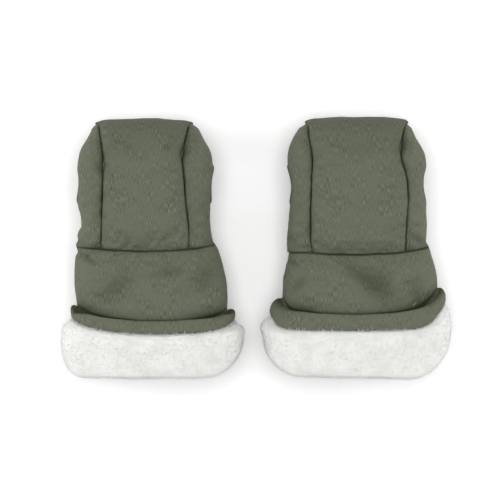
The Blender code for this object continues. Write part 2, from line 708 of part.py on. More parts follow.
def tip_flap(mitt):
    """The flap from the fold line, under the handlebar, to its studs under the palm."""
    start = HINGE_DISTANCE + SEAM_GAP / 2
    low = FLAP_HEIGHT
    outer, inner = flap_sheet(mitt, start, FLAP_END, low, SHELL_THICKNESS, SEAM_GAP, FLAP_ROWS)
    name = mitt.name + "_tip_flap"
    made = sheet_solid(name, mitt.to_world(outer), mitt.to_world(inner), "softshell")
    hang(made, hinge_point(mitt))
    for pin in hole_cutters(mitt, "flap", low - OVERRUN, low + OVERRUN):
        cut(made, pin)
    return made


def flap_facing(mitt):
    """Fleece on the inner face of the flap, where it lies under the handlebar."""
    start = HINGE_DISTANCE + FACING_THICKNESS
    end = PALM_DISTANCE - FACING_THICKNESS
    low = FLAP_HEIGHT + SHELL_THICKNESS + LAYER_GAP
    margin = FACING_THICKNESS
    outer, inner = flap_sheet(mitt, start, end, low, FACING_THICKNESS, margin, FACING_ROWS)
    name = mitt.name + "_flap_facing"
    made = sheet_solid(name, mitt.to_world(outer), mitt.to_world(inner), "sherpa")
    hang(made, hinge_point(mitt))
    return made


def turned(name, profile, place, colour):
    """A solid turned from (radius, height) points, from the lower to the upper pole."""
    radii = np.array([r for r, _ in profile])
    heights = np.array([z for _, z in profile])
    angle = np.linspace(0, 2 * np.pi, STUD_SIDES, endpoint=False)
    rings = np.stack(
        [
            radii[1:-1, None] * np.cos(angle)[None, :],
            radii[1:-1, None] * np.sin(angle)[None, :],
            np.repeat(heights[1:-1, None], STUD_SIDES, axis=1),
        ],
        axis=-1,
    )
    count = rings.shape[0] * STUD_SIDES
    poles = [[0.0, 0.0, heights[0]], [0.0, 0.0, heights[-1]]]
    points = np.concatenate([rings.reshape(-1, 3), poles]) + np.array(place)
    index = np.arange(count).reshape(-1, STUD_SIDES)
    faces = []
    for row in range(len(index) - 1):
        for i in range(STUD_SIDES):
            j = (i + 1) % STUD_SIDES
            faces.append([index[row, i], index[row, j], index[row + 1, j], index[row + 1, i]])
    for i in range(STUD_SIDES):
        j = (i + 1) % STUD_SIDES
        faces.append([count, index[0, j], index[0, i]])
        faces.append([count + 1, index[-1, i], index[-1, j]])
    mesh = bpy.data.meshes.new(name)
    mesh.from_pydata(points.tolist(), [], [[int(v) for v in face] for face in faces])
    return add_object(name, mesh, colour)


def stud_cap(mitt, number, x):
    """The outer half of a press stud: cap under the flap, shank through it, socket above."""
    under = FLAP_HEIGHT - STUD_CLEARANCE
    socket = FLAP_HEIGHT + SHELL_THICKNESS + STUD_CLEARANCE
    well = STUD_POST_RADIUS + STUD_CLEARANCE
    wall = STUD_RADIUS - STUD_CAP_THICKNESS
    floor = socket + STUD_SOCKET_HEIGHT / 4
    shoulder_share, dome_share, rim_share = CAP_DOME_SHARES
    profile = [
        (0.0, under - STUD_CAP_THICKNESS),
        (STUD_RADIUS * shoulder_share, under - STUD_CAP_THICKNESS * dome_share),
        (STUD_RADIUS, under - STUD_CAP_THICKNESS * rim_share),
        (STUD_RADIUS, under),
        (STUD_SHANK_RADIUS, under),
        (STUD_SHANK_RADIUS, socket),
        (wall, socket),
        (wall, SOCKET_TOP),
        (well, SOCKET_TOP),
        (well, floor),
        (0.0, floor),
    ]
    place = mitt.to_world(np.array([x, STUD_DISTANCE, 0.0]))
    made = turned(f"{mitt.name}_stud_cap_{number}", profile, place, "stud")
    hang(made, hinge_point(mitt))
    return made


def stud_post(mitt, number, x):
    """The inner half of a press stud: post in the socket, shank through the palm, backing."""
    socket = FLAP_HEIGHT + SHELL_THICKNESS + STUD_CLEARANCE
    tip = socket + STUD_SOCKET_HEIGHT / 4 + STUD_CLEARANCE
    base = SOCKET_TOP + STUD_CLEARANCE
    back = PALM_TOP + STUD_CLEARANCE
    wall = STUD_RADIUS - STUD_CAP_THICKNESS
    profile = [
        (0.0, tip),
        (STUD_POST_RADIUS, tip),
        (STUD_POST_RADIUS, base),
        (wall, base),
        (wall, base + STUD_DISC_THICKNESS),
        (STUD_SHANK_RADIUS, base + STUD_DISC_THICKNESS),
        (STUD_SHANK_RADIUS, back),
        (wall, back),
        (wall, back + STUD_DISC_THICKNESS),
        (0.0, back + STUD_DISC_THICKNESS),
    ]
    place = mitt.to_world(np.array([x, STUD_DISTANCE, 0.0]))
    return turned(f"{mitt.name}_stud_post_{number}", profile, place, "stud")


def cuff_ring(mitt, name, profile, colour):
    """A ring round the sleeve from (distance, stand-off, rise share, pocket share) points."""
    angle = np.linspace(0, 2 * np.pi, RING_COLUMNS, endpoint=False)
    across = np.abs(np.cos(angle)) ** (2 / TOP_POWER)
    lift = sum(share * across**power for share, power in zip(RISE_SHARES, RISE_POWERS))
    lift = lift * mitt.by_side(np.cos(angle), lambda side: side.rise)
    pocket = across**POCKET_POWER * mitt.by_side(np.cos(angle), lambda side: side.pocket)
    rows = []
    for distance, stand_off, rise_share, pocket_share in profile:
        s = distance - lift * rise_share
        base = mitt.point(s, angle)
        normals = mitt.normals(base)
        normals[:, 1] = 0
        normals /= np.linalg.norm(normals, axis=-1, keepdims=True)
        off = stand_off + mitt.wrist_rise(s) + pocket * pocket_share
        row = base + normals * off[:, None]
        row[:, 2] = np.maximum(row[:, 2], FLOOR_CUT)
        rows.append(row)
    rings = np.stack(rows)
    rings[..., 2] -= FLOOR_CUT
    return ring_solid(name, mitt.to_world(rings), colour)


def cuff_hem(mitt):
    """The rolled softshell hem at the free edge of the turned-up cuff."""
    middle = mitt.hem_distance + mitt.hem_width / 2
    turn = np.linspace(0, 2 * np.pi, HEM_COLUMNS, endpoint=False)
    off = HEM_THICKNESS / 2 + 2 * LAYER_GAP
    distance = middle - mitt.hem_width / 2 * np.cos(turn)
    stand_off = off + HEM_THICKNESS / 2 * np.sin(turn)
    full = np.ones_like(turn)
    profile = np.stack([distance, stand_off, full, full], axis=-1)
    return cuff_ring(mitt, mitt.name + "_cuff_hem", profile, "softshell")


def fleece_cuff(mitt):
    """The fleece turned out over the sleeve: from inside the mouth, round it and back up."""
    top = mitt.hem_distance + mitt.hem_width + 2 * LAYER_GAP
    end = SLEEVE_LENGTH + 2 * LAYER_GAP
    distance = np.interp(FLEECE_ALONG_SHARES, (0, 1, 2), (top, end, MITT_LENGTH - CENTRE_CROWN))
    stand = np.array(FLEECE_STAND_SHARES)
    inside = LINING_INSET + LINING_THICKNESS
    stand_off = stand * np.where(stand < 0, inside, CUFF_THICKNESS)
    profile = np.stack([distance, stand_off, FLEECE_RISE_SHARES, FLEECE_POCKET_SHARES], axis=-1)
    return cuff_ring(mitt, mitt.name + "_fleece_cuff", profile, "sherpa")


def build_mitt(mitt):
    """All the pieces of one mitt."""
    cutter = bar_cutter(mitt)
    centre_panel(mitt)
    for side in (-1, 1):
        side_panel(mitt, side, cutter)
        way_binding(mitt, side)
    palm_panel(mitt)
    wrist_panel(mitt)
    bag(mitt, "hand_wadding", WADDING_INSET, WADDING_THICKNESS, "wadding", cutter)
    bag(mitt, "hand_lining", LINING_INSET, LINING_THICKNESS, "sherpa", cutter)
    tip_flap(mitt)
    flap_facing(mitt)
    for number, x in enumerate(stud_places(mitt), 1):
        stud_cap(mitt, number, x)
        stud_post(mitt, number, x)
    cuff_hem(mitt)
    fleece_cuff(mitt)


def main():
    for old in list(bpy.data.objects):
        bpy.data.objects.remove(old)
    build_mitt(LEFT)
    build_mitt(RIGHT)


main()
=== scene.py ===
"""The finish of a pair of padded hand muffs: softshell panels, fleece cuffs and linings, press
studs and a pale floor."""

import json
from types import SimpleNamespace

import bmesh
import bpy
import numpy as np
from bpy.props import FloatProperty, FloatVectorProperty, IntProperty, PointerProperty
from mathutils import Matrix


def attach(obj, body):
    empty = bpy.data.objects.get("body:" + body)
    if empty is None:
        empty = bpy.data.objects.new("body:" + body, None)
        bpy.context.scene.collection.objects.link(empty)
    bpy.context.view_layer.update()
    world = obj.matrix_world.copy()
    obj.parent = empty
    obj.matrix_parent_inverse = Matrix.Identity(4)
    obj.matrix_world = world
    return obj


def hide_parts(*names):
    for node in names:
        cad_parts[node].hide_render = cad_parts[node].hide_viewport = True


bl_info = {
    "name": "Padded hand muffs",
    "version": (1, 0, 0),
    "blender": (4, 5, 0),
    "location": "View3D > Sidebar > Muffs",
    "description": "Builds the panels, cuffs, linings and fittings of a pair of padded hand muffs",
    "category": "Object",
}

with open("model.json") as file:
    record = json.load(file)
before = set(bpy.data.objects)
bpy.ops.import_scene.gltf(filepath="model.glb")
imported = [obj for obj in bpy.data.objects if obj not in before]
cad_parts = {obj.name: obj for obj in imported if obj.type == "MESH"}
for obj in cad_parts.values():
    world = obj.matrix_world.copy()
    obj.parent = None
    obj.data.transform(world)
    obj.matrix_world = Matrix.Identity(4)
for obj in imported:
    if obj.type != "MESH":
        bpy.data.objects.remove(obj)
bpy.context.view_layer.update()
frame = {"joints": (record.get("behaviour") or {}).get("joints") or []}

# Sizes of the solids that the finish follows, in metres
MITT_LENGTH = 0.280
WAIST_LENGTH = 0.142
TIP_RADIUS = 0.044
HAND_HEIGHT = 0.088
HAND_LIFT = 0.003
CUFF_THICKNESS = 0.012
CUFF_LIP = 0.015
CUFF_SPREAD = 0.035
CORNER_WIDTH = 0.050
CORNER_DROP = 0.036
HEM_THICKNESS = 0.0064
HEM_POCKET = 0.0055
SHELL_THICKNESS = 0.003
WADDING_THICKNESS = 0.003
LINING_THICKNESS = 0.004
SEAM_GAP = 0.0004
LAYER_GAP = 0.0005
WADDING_GAP = 0.0016
CENTRE_CROWN = 0.003
SIDE_CROWN = 0.003
WRIST_CROWN = 0.0035
WRIST_POWER = 0.7
BAR_WAY_RADIUS = 0.019
BAR_WAY_SHARE = 0.486
BINDING_THICKNESS = 0.002
BINDING_STAND_OUT = 0.0004
BINDING_BULGE = 0.0014
FLAP_MARGIN = 0.0168
FLAP_HEIGHT = 0.0016
FACING_THICKNESS = 0.004
STUD_SPACING = 0.052
STUD_RADIUS = 0.0062
STUD_SHANK_RADIUS = 0.0018
STUD_CAP_THICKNESS = 0.0010
STUD_SOCKET_HEIGHT = 0.0020
STUD_POST_RADIUS = 0.0029
STUD_DISC_THICKNESS = 0.0008
STUD_CLEARANCE = 0.0003
OVERRUN = 0.010

# The run of cloth that gives the panels their puckers: spacing of its points, frames, smoothing
# rounds, the cap on its relief and the cloth itself, which is cut longer than its seams
CLOTH_STEP = 0.0038
CLOTH_FRAMES = 20
CLOTH_BLUR = 24
CLOTH_CAP = 0.0022
CLOTH_SETTINGS = {
    "quality": 6,
    "mass": 0.2,
    "tension_stiffness": 12.0,
    "compression_stiffness": 12.0,
    "shear_stiffness": 6.0,
    "bending_stiffness": 0.4,
    "shrink_min": -0.07,
    "use_pressure": True,
    "uniform_pressure_force": 4.0,
}

# Distances of the first points from a sewn edge, and lengths that are shared out in steps
EDGE_STEPS = np.array([0.0, 0.25, 0.55, 0.9, 1.4, 2.0, 2.8]) * 0.001
SIDE_GIRTH = 0.080
WRIST_GIRTH = 0.43
HEM_GIRTH = 0.45
CUFF_GIRTH = 0.50
CUFF_OUTLINE = 0.150
BAG_GIRTH = 0.36
BAG_STEP = 0.0022

# Fullness of the sections: 2 is an ellipse, more is squarer
TOP_POWER = 2.6
LOW_POWER = 4.0
TIP_POWER = 2.35
TIP_INSET_SHARE = 1.6

# Shares along the sleeve's length, with the waist seam at one of them, and the heights there
ALONG_SHARES = (0.0, 0.07, 0.145, 0.235, 0.33, 0.42, 0.48, 0.535, 0.64, 0.77, 0.83, 1.0)
WAIST_SHARE = 0.535
TOP_HEIGHT_SHARES = (1.0, 1.0, 1.0, 1.0, 0.995, 0.975, 0.93, 0.875, 0.88, 0.91, 0.93, 0.96)
LOW_HEIGHT_SHARES = (0.0, 0.0, 0.0, 0.0, 0.0, 0.0, 0.02, 0.10, 0.45, 0.90, 1.0, 1.0)

# The centre panel's seam shares past the waist, where the panel has ended
WAIST_TO_MOUTH = (1.0,) * 4

# The strip of cloth turned in under the waist seam, between shell and wadding
SEAM_ALLOWANCE = 0.004
SEAM_ALLOWANCE_DEPTH = 0.0038

# Where the lean of the hand over the cuff begins and ends, between the waist and the mouth
LEAN_START_SHARE = -0.18
LEAN_END_SHARE = 0.46

# Powers, over the share across, of the hem's slow rise towards its sides, of the pocket behind
# its ends and of the mouth's drawn-back corner
SLOW_RISE_POWER = 2
POCKET_POWER = 6
CORNER_POWER = 3

HAND_END = WAIST_LENGTH - SEAM_GAP / 2
SLEEVE_LENGTH = MITT_LENGTH - CUFF_LIP
BAR_WAY_DISTANCE = BAR_WAY_SHARE * WAIST_LENGTH
BAR_CUT_RADIUS = BAR_WAY_RADIUS + BINDING_THICKNESS + SEAM_GAP
BAR_HEIGHT = HAND_LIFT + (HAND_HEIGHT - CENTRE_CROWN - HAND_LIFT) / 2
HINGE_DISTANCE = BAR_WAY_DISTANCE - BAR_CUT_RADIUS - SEAM_GAP
PALM_DISTANCE = BAR_WAY_DISTANCE + BAR_CUT_RADIUS
FLAP_END = WAIST_LENGTH - FLAP_MARGIN
STUD_DISTANCE = FLAP_END - 2 * STUD_RADIUS
SOCKET_TOP = FLAP_HEIGHT + SHELL_THICKNESS + LAYER_GAP + STUD_SOCKET_HEIGHT
PALM_HEIGHT = SOCKET_TOP + STUD_DISC_THICKNESS + 2 * STUD_CLEARANCE
PALM_TOP = PALM_HEIGHT + SHELL_THICKNESS
BAG_LOW = PALM_TOP + STUD_DISC_THICKNESS + 2 * STUD_CLEARANCE
WADDING_INSET = SHELL_THICKNESS + WADDING_GAP
LINING_INSET = WADDING_INSET + WADDING_THICKNESS + LAYER_GAP

# The photograph's frame: 500 pixels square, with the middle of the pair at these pixels
PHOTO_WIDTH_PX = 500
PHOTO_PAIR_CENTRE_PX = (256.25, 247.75)
METRES_PER_PIXEL = 0.001073
CAMERA_DISTANCE = 2.4
CAMERA_SENSOR_MM = 36.0
OUTLINE_HEIGHT = 0.045

# The studio: softboxes as (name, place, width, power in watts), the room's fill, half the
# floor's width, and the distances between which the floor's own white grows from its least
SOFTBOXES = (
    ("left_softbox", (-1.60, 0.10, 0.60), 0.8, 11.5),
    ("right_softbox", (1.60, 0.10, 0.60), 0.8, 9.5),
    ("overhead_softbox", (0.0, 0.10, 2.1), 1.5, 29.0),
)
ROOM_FILL = 0.32
FLOOR_HALF = 4.0
FLOOR_GLOW_START = 0.50
FLOOR_GLOW_END = 1.40
FLOOR_LEAST_GLOW = 0.14
WHITE = (1.0, 1.0, 1.0, 1.0)


def linear(code):
    """The linear colour, with alpha, of a hex sRGB code."""
    values = np.array([int(code[i : i + 2], 16) / 255 for i in (0, 2, 4)])
    values = np.where(values <= 0.04045, values / 12.92, ((values + 0.055) / 1.055) ** 2.4)
    return (*values.tolist(), 1.0)


def length_setting(name, description, default):
    """A length in metres that a user can change."""
    return FloatProperty(name=name, description=description, default=default, unit="LENGTH")


def colour_setting(name, description, code):
    """A colour that a user can change, from its hex sRGB code."""
    return FloatVectorProperty(
        name=name, description=description, default=linear(code), subtype="COLOR", size=4
    )


class MuffSizes(bpy.types.PropertyGroup):
    """Sizes of the padding, pile and grain."""

    puff: length_setting("Puff", "How far panels stand up from their seams", 0.0034)
    grid_step: length_setting("Grid step", "Spacing of the points on the fabric", 0.0011)
    pile_length: length_setting("Pile length", "Length of the fleece curls", 0.0019)
    pile_radius: length_setting("Pile radius", "Thickness of a fleece curl at its root", 0.00022)
    pile_count: IntProperty(name="Pile count", description="Curls on each cuff", default=19000)
    fleck_width: length_setting("Fleck width", "Width of the melange flecks", 0.0007)
    fleck_length: length_setting("Fleck length", "Length of the melange flecks", 0.0062)


class MuffColours(bpy.types.PropertyGroup):
    """Colours of the fabrics and the floor."""

    softshell: colour_setting("Softshell", "Olive yarn of the shell", "636757")
    softshell_dark: colour_setting("Softshell dark", "Dark yarn of the shell", "4E5243")
    softshell_light: colour_setting("Softshell light", "Light yarn of the shell", "777B6C")
    # Painted shade: the shell is painted this colour where shade falls in seams, creases, pockets
    softshell_pinched: colour_setting("Pinched cloth", "Shell cloth pressed into a seam", "2A2E1B")
    sherpa: colour_setting("Sherpa", "Fleece pile", "EAEAE7")
    sherpa_shade: colour_setting("Sherpa shade", "Darker tufts of the pile", "E0E0DC")
    wadding: colour_setting("Wadding", "Felt between shell and lining", "D9D8D2")
    binding: colour_setting("Binding", "Tape of the handlebar way", "4A4E40")
    stud: colour_setting("Stud", "Burnished press studs", "55564F")
    floor: colour_setting("Floor", "Floor and backdrop", "FAFAFA")


def sizes():
    """The scene's sizes of the muffs."""
    return bpy.context.scene.muff_sizes


def colours():
    """The scene's colours of the muffs."""
    return bpy.context.scene.muff_colours


def curve(values, at):
    """A smooth curve through values at ALONG_SHARES: Hermite pieces with averaged slopes."""
    shares = np.array(ALONG_SHARES)
    values = np.array(values)
    slopes = np.gradient(values, shares)
    at = np.clip(at, 0, 1)
    i = np.clip(np.searchsorted(shares, at, side="right") - 1, 0, len(shares) - 2)
    span = shares[i + 1] - shares[i]
    t = (at - shares[i]) / span
    start = (1 + 2 * t) * (1 - t) ** 2 * values[i] + t * (1 - t) ** 2 * span * slopes[i]
    end = t * t * (3 - 2 * t) * values[i + 1] + t * t * (t - 1) * span * slopes[i + 1]
    return start + end


def smooth_step(value):
    """0 below 0, 1 above 1, and a smooth rise between."""
    value = np.clip(value, 0, 1)
    return value * value * (3 - 2 * value)


def hashed(x, y, z, seed):
    """A repeatable number from 0 to 1 for each lattice point."""
    x, y, z = (part.astype(np.uint32) for part in (x, y, z))
    mixed = x * np.uint32(374761393) + y * np.uint32(668265263)
    mixed += z * np.uint32(2246822519) + np.uint32(seed * 40503 + 12345)
    mixed = (mixed ^ (mixed >> np.uint32(13))) * np.uint32(1274126177)
    mixed = (mixed ^ (mixed >> np.uint32(15))) * np.uint32(2654435761)
    mixed = mixed ^ (mixed >> np.uint32(16))
    return mixed.astype(np.float64) / 2**32


def noise(points, size, seed=0):
    """Gradient noise from about -1 to 1: slopes hashed at lattice corners, blended between them."""
    p = np.asarray(points) / size
    cell = np.floor(p)
    local = p - cell
    fade = local**3 * (local * (local * 6 - 15) + 10)
    cell = cell.astype(np.int64)
    total = np.zeros(p.shape[:-1])
    for dx in (0, 1):
        for dy in (0, 1):
            for dz in (0, 1):
                corner = [cell[..., 0] + dx, cell[..., 1] + dy, cell[..., 2] + dz]
                weight = np.ones(p.shape[:-1])
                slope = np.zeros(p.shape[:-1])
                for axis, d in enumerate((dx, dy, dz)):
                    weight = weight * (fade[..., axis] if d else 1 - fade[..., axis])
                    slope += (hashed(*corner, seed + 31 * axis) * 2 - 1) * (local[..., axis] - d)
                total += weight * slope
    return total * 1.4


def along(s):
    """Share along the sleeve of a distance from the tip, with the waist seam at its own share."""
    return np.interp(s, (0, WAIST_LENGTH, SLEEVE_LENGTH), (0, WAIST_SHARE, 1))


class Side(SimpleNamespace):
    """One side of one mitt, as it lies in the photograph.

    width_shares: half widths at ALONG_SHARES, as shares of half the body's width
    seam_shares: the centre panel's seam there, as shares of half the panel's width
    corner_width, corner_drop: how far across and how far back the mouth's corner is drawn
    dips: hollows beside the seam, as (distance from the tip, length, depth)
    way_swell, wrist_swell, wrist_fade: fullness over the handlebar's way, fullness at the
        wrist's start and the length in which that fades
    rise, slow, low_slow, steep: the hem's rise towards the tip, the slow share of it at its
        upper and its lower edge, and the power of the steep share
    pocket, roll, tilt, tuck: how far the hem's end stands off, its inward roll,
        how far its lower edge stands out, and the reach of the painted shade on its corner
    """


class Mitt(SimpleNamespace):
    """One mitt's sizes and its seam surface, as in the solids: across, from the tip, up.

    outside: the side of its outer panel, -1 or 1
    lean: how far the hand leans across over its cuff
    tip_draw: how far the middle of the tip's edge is drawn in
    seam_shift: how far both long seams lie across from their even places
    mouth_tilt: how far the mouth's end is turned at its sides
    waist_line: the waist seam's (across from the middle, distance from the waist) points
    creases: (across from the cuff's middle, distance from the tip, turn in degrees, half
        length, half width, height) of each crease and swell
    """

    def __init__(self, **values):
        """Keep the sizes, and find the mitt's place from its flap's fold."""
        super().__init__(**values)
        fold = next(j for j in frame["joints"] if j["name"] == f"{self.name}_flap_fold")
        self.cuff_x = fold["pos_m"][0] + self.lean
        self.tip_y = fold["pos_m"][1] + HINGE_DISTANCE
        self.hem_distance = MITT_LENGTH - self.cuff_length

    def place(self, side):
        """The name of a side's place in the pair."""
        return "outer" if side == self.outside else "inner"

    def by_side(self, side, name):
        """A value of the low or the high side, by the sign of side."""
        return np.where(side < 0, getattr(self.low_side, name), getattr(self.high_side, name))

    def curve_by_side(self, side, name, s):
        """A table of the low or the high side, read at a distance from the tip."""
        low, high = (curve(getattr(one, name), along(s)) for one in (self.low_side, self.high_side))
        return np.where(side < 0, low, high)

    def half_width(self, s, side):
        """Half the width of the seam surface on one side, at a distance from the tip."""
        share = self.curve_by_side(side, "width_shares", s)
        sleeve = self.cuff_width / 2 - CUFF_THICKNESS
        into_cuff = smooth_step((s - self.hem_distance) / CUFF_SPREAD)
        body = self.body_width / 2 * share - SIDE_CROWN
        return body * (1 - into_cuff) + sleeve * into_cuff

    def seam_distance(self, s, side):
        """How far across from the middle the centre panel's seam is on one side."""
        share = self.curve_by_side(side, "seam_shares", s)
        aside = self.seam_shift * smooth_step((s - 0.015) / 0.030)
        return self.panel_width / 2 * share + np.sign(side) * aside

    def tip_share(self, s):
        """How far the section has opened between the tip's ridge and its full height."""
        u = np.clip(1 - s / TIP_RADIUS, 0, 1)
        return (1 - u**TIP_POWER) ** (1 / TIP_POWER)

    def top_and_low(self, s, inset=0.0, low_inset=0.0):
        """Heights of the top and the underside, with the ridge of the tip at mid height."""
        top = (HAND_HEIGHT - CENTRE_CROWN) * curve(TOP_HEIGHT_SHARES, along(s)) - inset
        low = HAND_LIFT + (CUFF_THICKNESS - HAND_LIFT) * curve(LOW_HEIGHT_SHARES, along(s))
        low = low + inset + low_inset
        middle = (top + low) / 2
        rise = (top - low) / 2 * self.tip_share(s - TIP_INSET_SHARE * inset)
        return middle + rise, middle - rise

    def angle_at(self, x, s, power):
        """The section's angle, from the side, at a distance across from the middle."""
        share = np.clip(np.abs(x) / self.half_width(s, np.sign(x)), 0, 1)
        angle = np.arccos(share ** (power / 2))
        return np.where(x < 0, np.pi - angle, angle)

    def point(self, s, angle, inset=0.0, low_inset=0.0):
        """A point of the section, a superellipse: angle 0 is +X, a quarter turn is the top."""
        s, angle = np.broadcast_arrays(s, angle)
        cosine = np.cos(angle)
        sine = np.sin(angle)
        power = np.where(sine >= 0, TOP_POWER, LOW_POWER)
        top, low = self.top_and_low(s, inset, low_inset)
        width = self.half_width(s, cosine) - inset
        x = width * np.sign(cosine) * np.abs(cosine) ** (2 / power)
        z = (top + low) / 2 + (top - low) / 2 * np.sign(sine) * np.abs(sine) ** (2 / power)
        return np.stack([x, s, z], axis=-1)

    def fullness(self, points):
        """Zero on the seam surface, above zero outside it."""
        x, s, z = points[..., 0], points[..., 1], points[..., 2]
        top, low = self.top_and_low(s)
        middle = (top + low) / 2
        rise = np.maximum((top - low) / 2, SEAM_GAP)
        power = np.where(z >= middle, TOP_POWER, LOW_POWER)
        across = np.abs(x / self.half_width(s, x))
        return across**power + np.abs((z - middle) / rise) ** power - 1

    def normals(self, points):
        """Outward directions of the seam surface, by small steps of its fullness."""
        step = SEAM_GAP / 10
        sums = []
        for axis in range(3):
            shift = np.zeros(3)
            shift[axis] = step
            sums.append(self.fullness(points + shift) - self.fullness(points - shift))
        found = np.stack(sums, axis=-1)
        return found / np.linalg.norm(found, axis=-1, keepdims=True)

    def wrist_rise(self, s):
        """How far the padded wrist stands up from the seam surface, between seam and hem."""
        share = np.clip((s - WAIST_LENGTH) / (self.hem_distance - WAIST_LENGTH), 0, 1)
        return WRIST_CROWN * np.sin(np.pi * share) ** WRIST_POWER

    def to_world(self, points):
        """From (across, from the tip, up) to the pair's frame: the hand leans over its cuff,
        and the mouth is drawn back at its corners."""
        x, s, z = points[..., 0], points[..., 1], points[..., 2]
        wrist = MITT_LENGTH - WAIST_LENGTH
        start = WAIST_LENGTH + wrist * LEAN_START_SHARE
        end = WAIST_LENGTH + wrist * LEAN_END_SHARE
        leaning = 1 - smooth_step((s - start) / (end - start))
        width = self.by_side(x, "corner_width")
        corner = np.clip(1 - (self.cuff_width / 2 - np.abs(x)) / width, 0, 1)
        drop = self.by_side(x, "corner_drop") * corner**CORNER_POWER
        drop = drop - self.mouth_tilt * x / (self.cuff_width / 2)
        drop = drop * smooth_step((s - self.hem_distance) / (MITT_LENGTH - self.hem_distance))
        return np.stack([self.cuff_x - self.lean * leaning + x, self.tip_y - s + drop, z], axis=-1)


LEFT = Mitt(
    name="left",
    outside=-1,
    seed=11,
    cuff_width=0.196,
    body_width=0.146,
    panel_width=0.093,
    cuff_length=0.0655,
    hem_width=0.0138,
    lean=0.008,
    tip_draw=0.35,
    seam_shift=0.0007,
    mouth_tilt=0.0,
    low_side=Side(
        width_shares=(
            0.78, 0.858, 0.956, 0.984, 0.988, 0.94,
            1.008, 1.04, 1.105, 1.116, 1.12, 1.12,
        ),
        seam_shares=(1.095, 1.009, 0.951, 0.953, 0.972, 0.987, 0.996, 1.043, *WAIST_TO_MOUTH),
        corner_width=CORNER_WIDTH * 0.60,
        corner_drop=CORNER_DROP * 0.66,
        dips=((0.050, 0.013, 0.0042), (0.086, 0.008, 0.0018), (0.104, 0.007, 0.0016)),
        way_swell=0.0022,
        wrist_swell=0.0027,
        wrist_fade=0.012,
        rise=0.0158,
        slow=0.62,
        low_slow=0.66,
        steep=10,
        pocket=HEM_POCKET * 0.1,
        roll=0.0020,
        tilt=0.0,
        tuck=0.0085,
    ),
    high_side=Side(
        width_shares=(
            0.75, 0.86, 0.97, 0.964, 0.942, 0.949,
            0.979, 1.055, 1.092, 1.104, 1.11, 1.11,
        ),
        seam_shares=(1.04, 0.957, 0.862, 0.897, 0.929, 0.987, 1.006, 0.989, *WAIST_TO_MOUTH),
        corner_width=CORNER_WIDTH * 1.05,
        corner_drop=CORNER_DROP * 0.92,
        dips=((0.036, 0.008, 0.0046), (0.020, 0.006, 0.0014)),
        way_swell=0.0040,
        wrist_swell=0.0030,
        wrist_fade=0.020,
        rise=0.0120,
        slow=0.42,
        low_slow=0.40,
        steep=10,
        pocket=HEM_POCKET * 0.4,
        roll=0.0050,
        tilt=0.0,
        tuck=0.0050,
    ),
    waist_line=((-0.075, -0.0062), (-0.040, -0.0026), (0.035, -0.0022), (0.075, -0.0074)),
    creases=(
        (-0.0700, 0.1470, -32, 0.0140, 0.0030, -0.0029),
        (-0.0380, 0.1800, 40, 0.0200, 0.0110, -0.0027),
        (0.0560, 0.1680, 70, 0.0160, 0.0100, -0.0020),
        (-0.0600, 0.1700, 20, 0.0160, 0.0080, 0.0016),
        (0.0150, 0.1640, 10, 0.0200, 0.0070, -0.0019),
        (0.0140, 0.1800, -5, 0.0220, 0.0060, 0.0013),
        (-0.0300, 0.0300, 0, 0.0200, 0.0090, -0.0010),
        (0.0190, 0.0290, 60, 0.0090, 0.0040, -0.0016),
        (-0.0880, 0.1180, 12, 0.0120, 0.0022, -0.0038),
        (-0.0780, 0.1290, -25, 0.0080, 0.0030, -0.0019),
        (0.0640, 0.1300, 15, 0.0080, 0.0030, -0.0019),
    ),
)
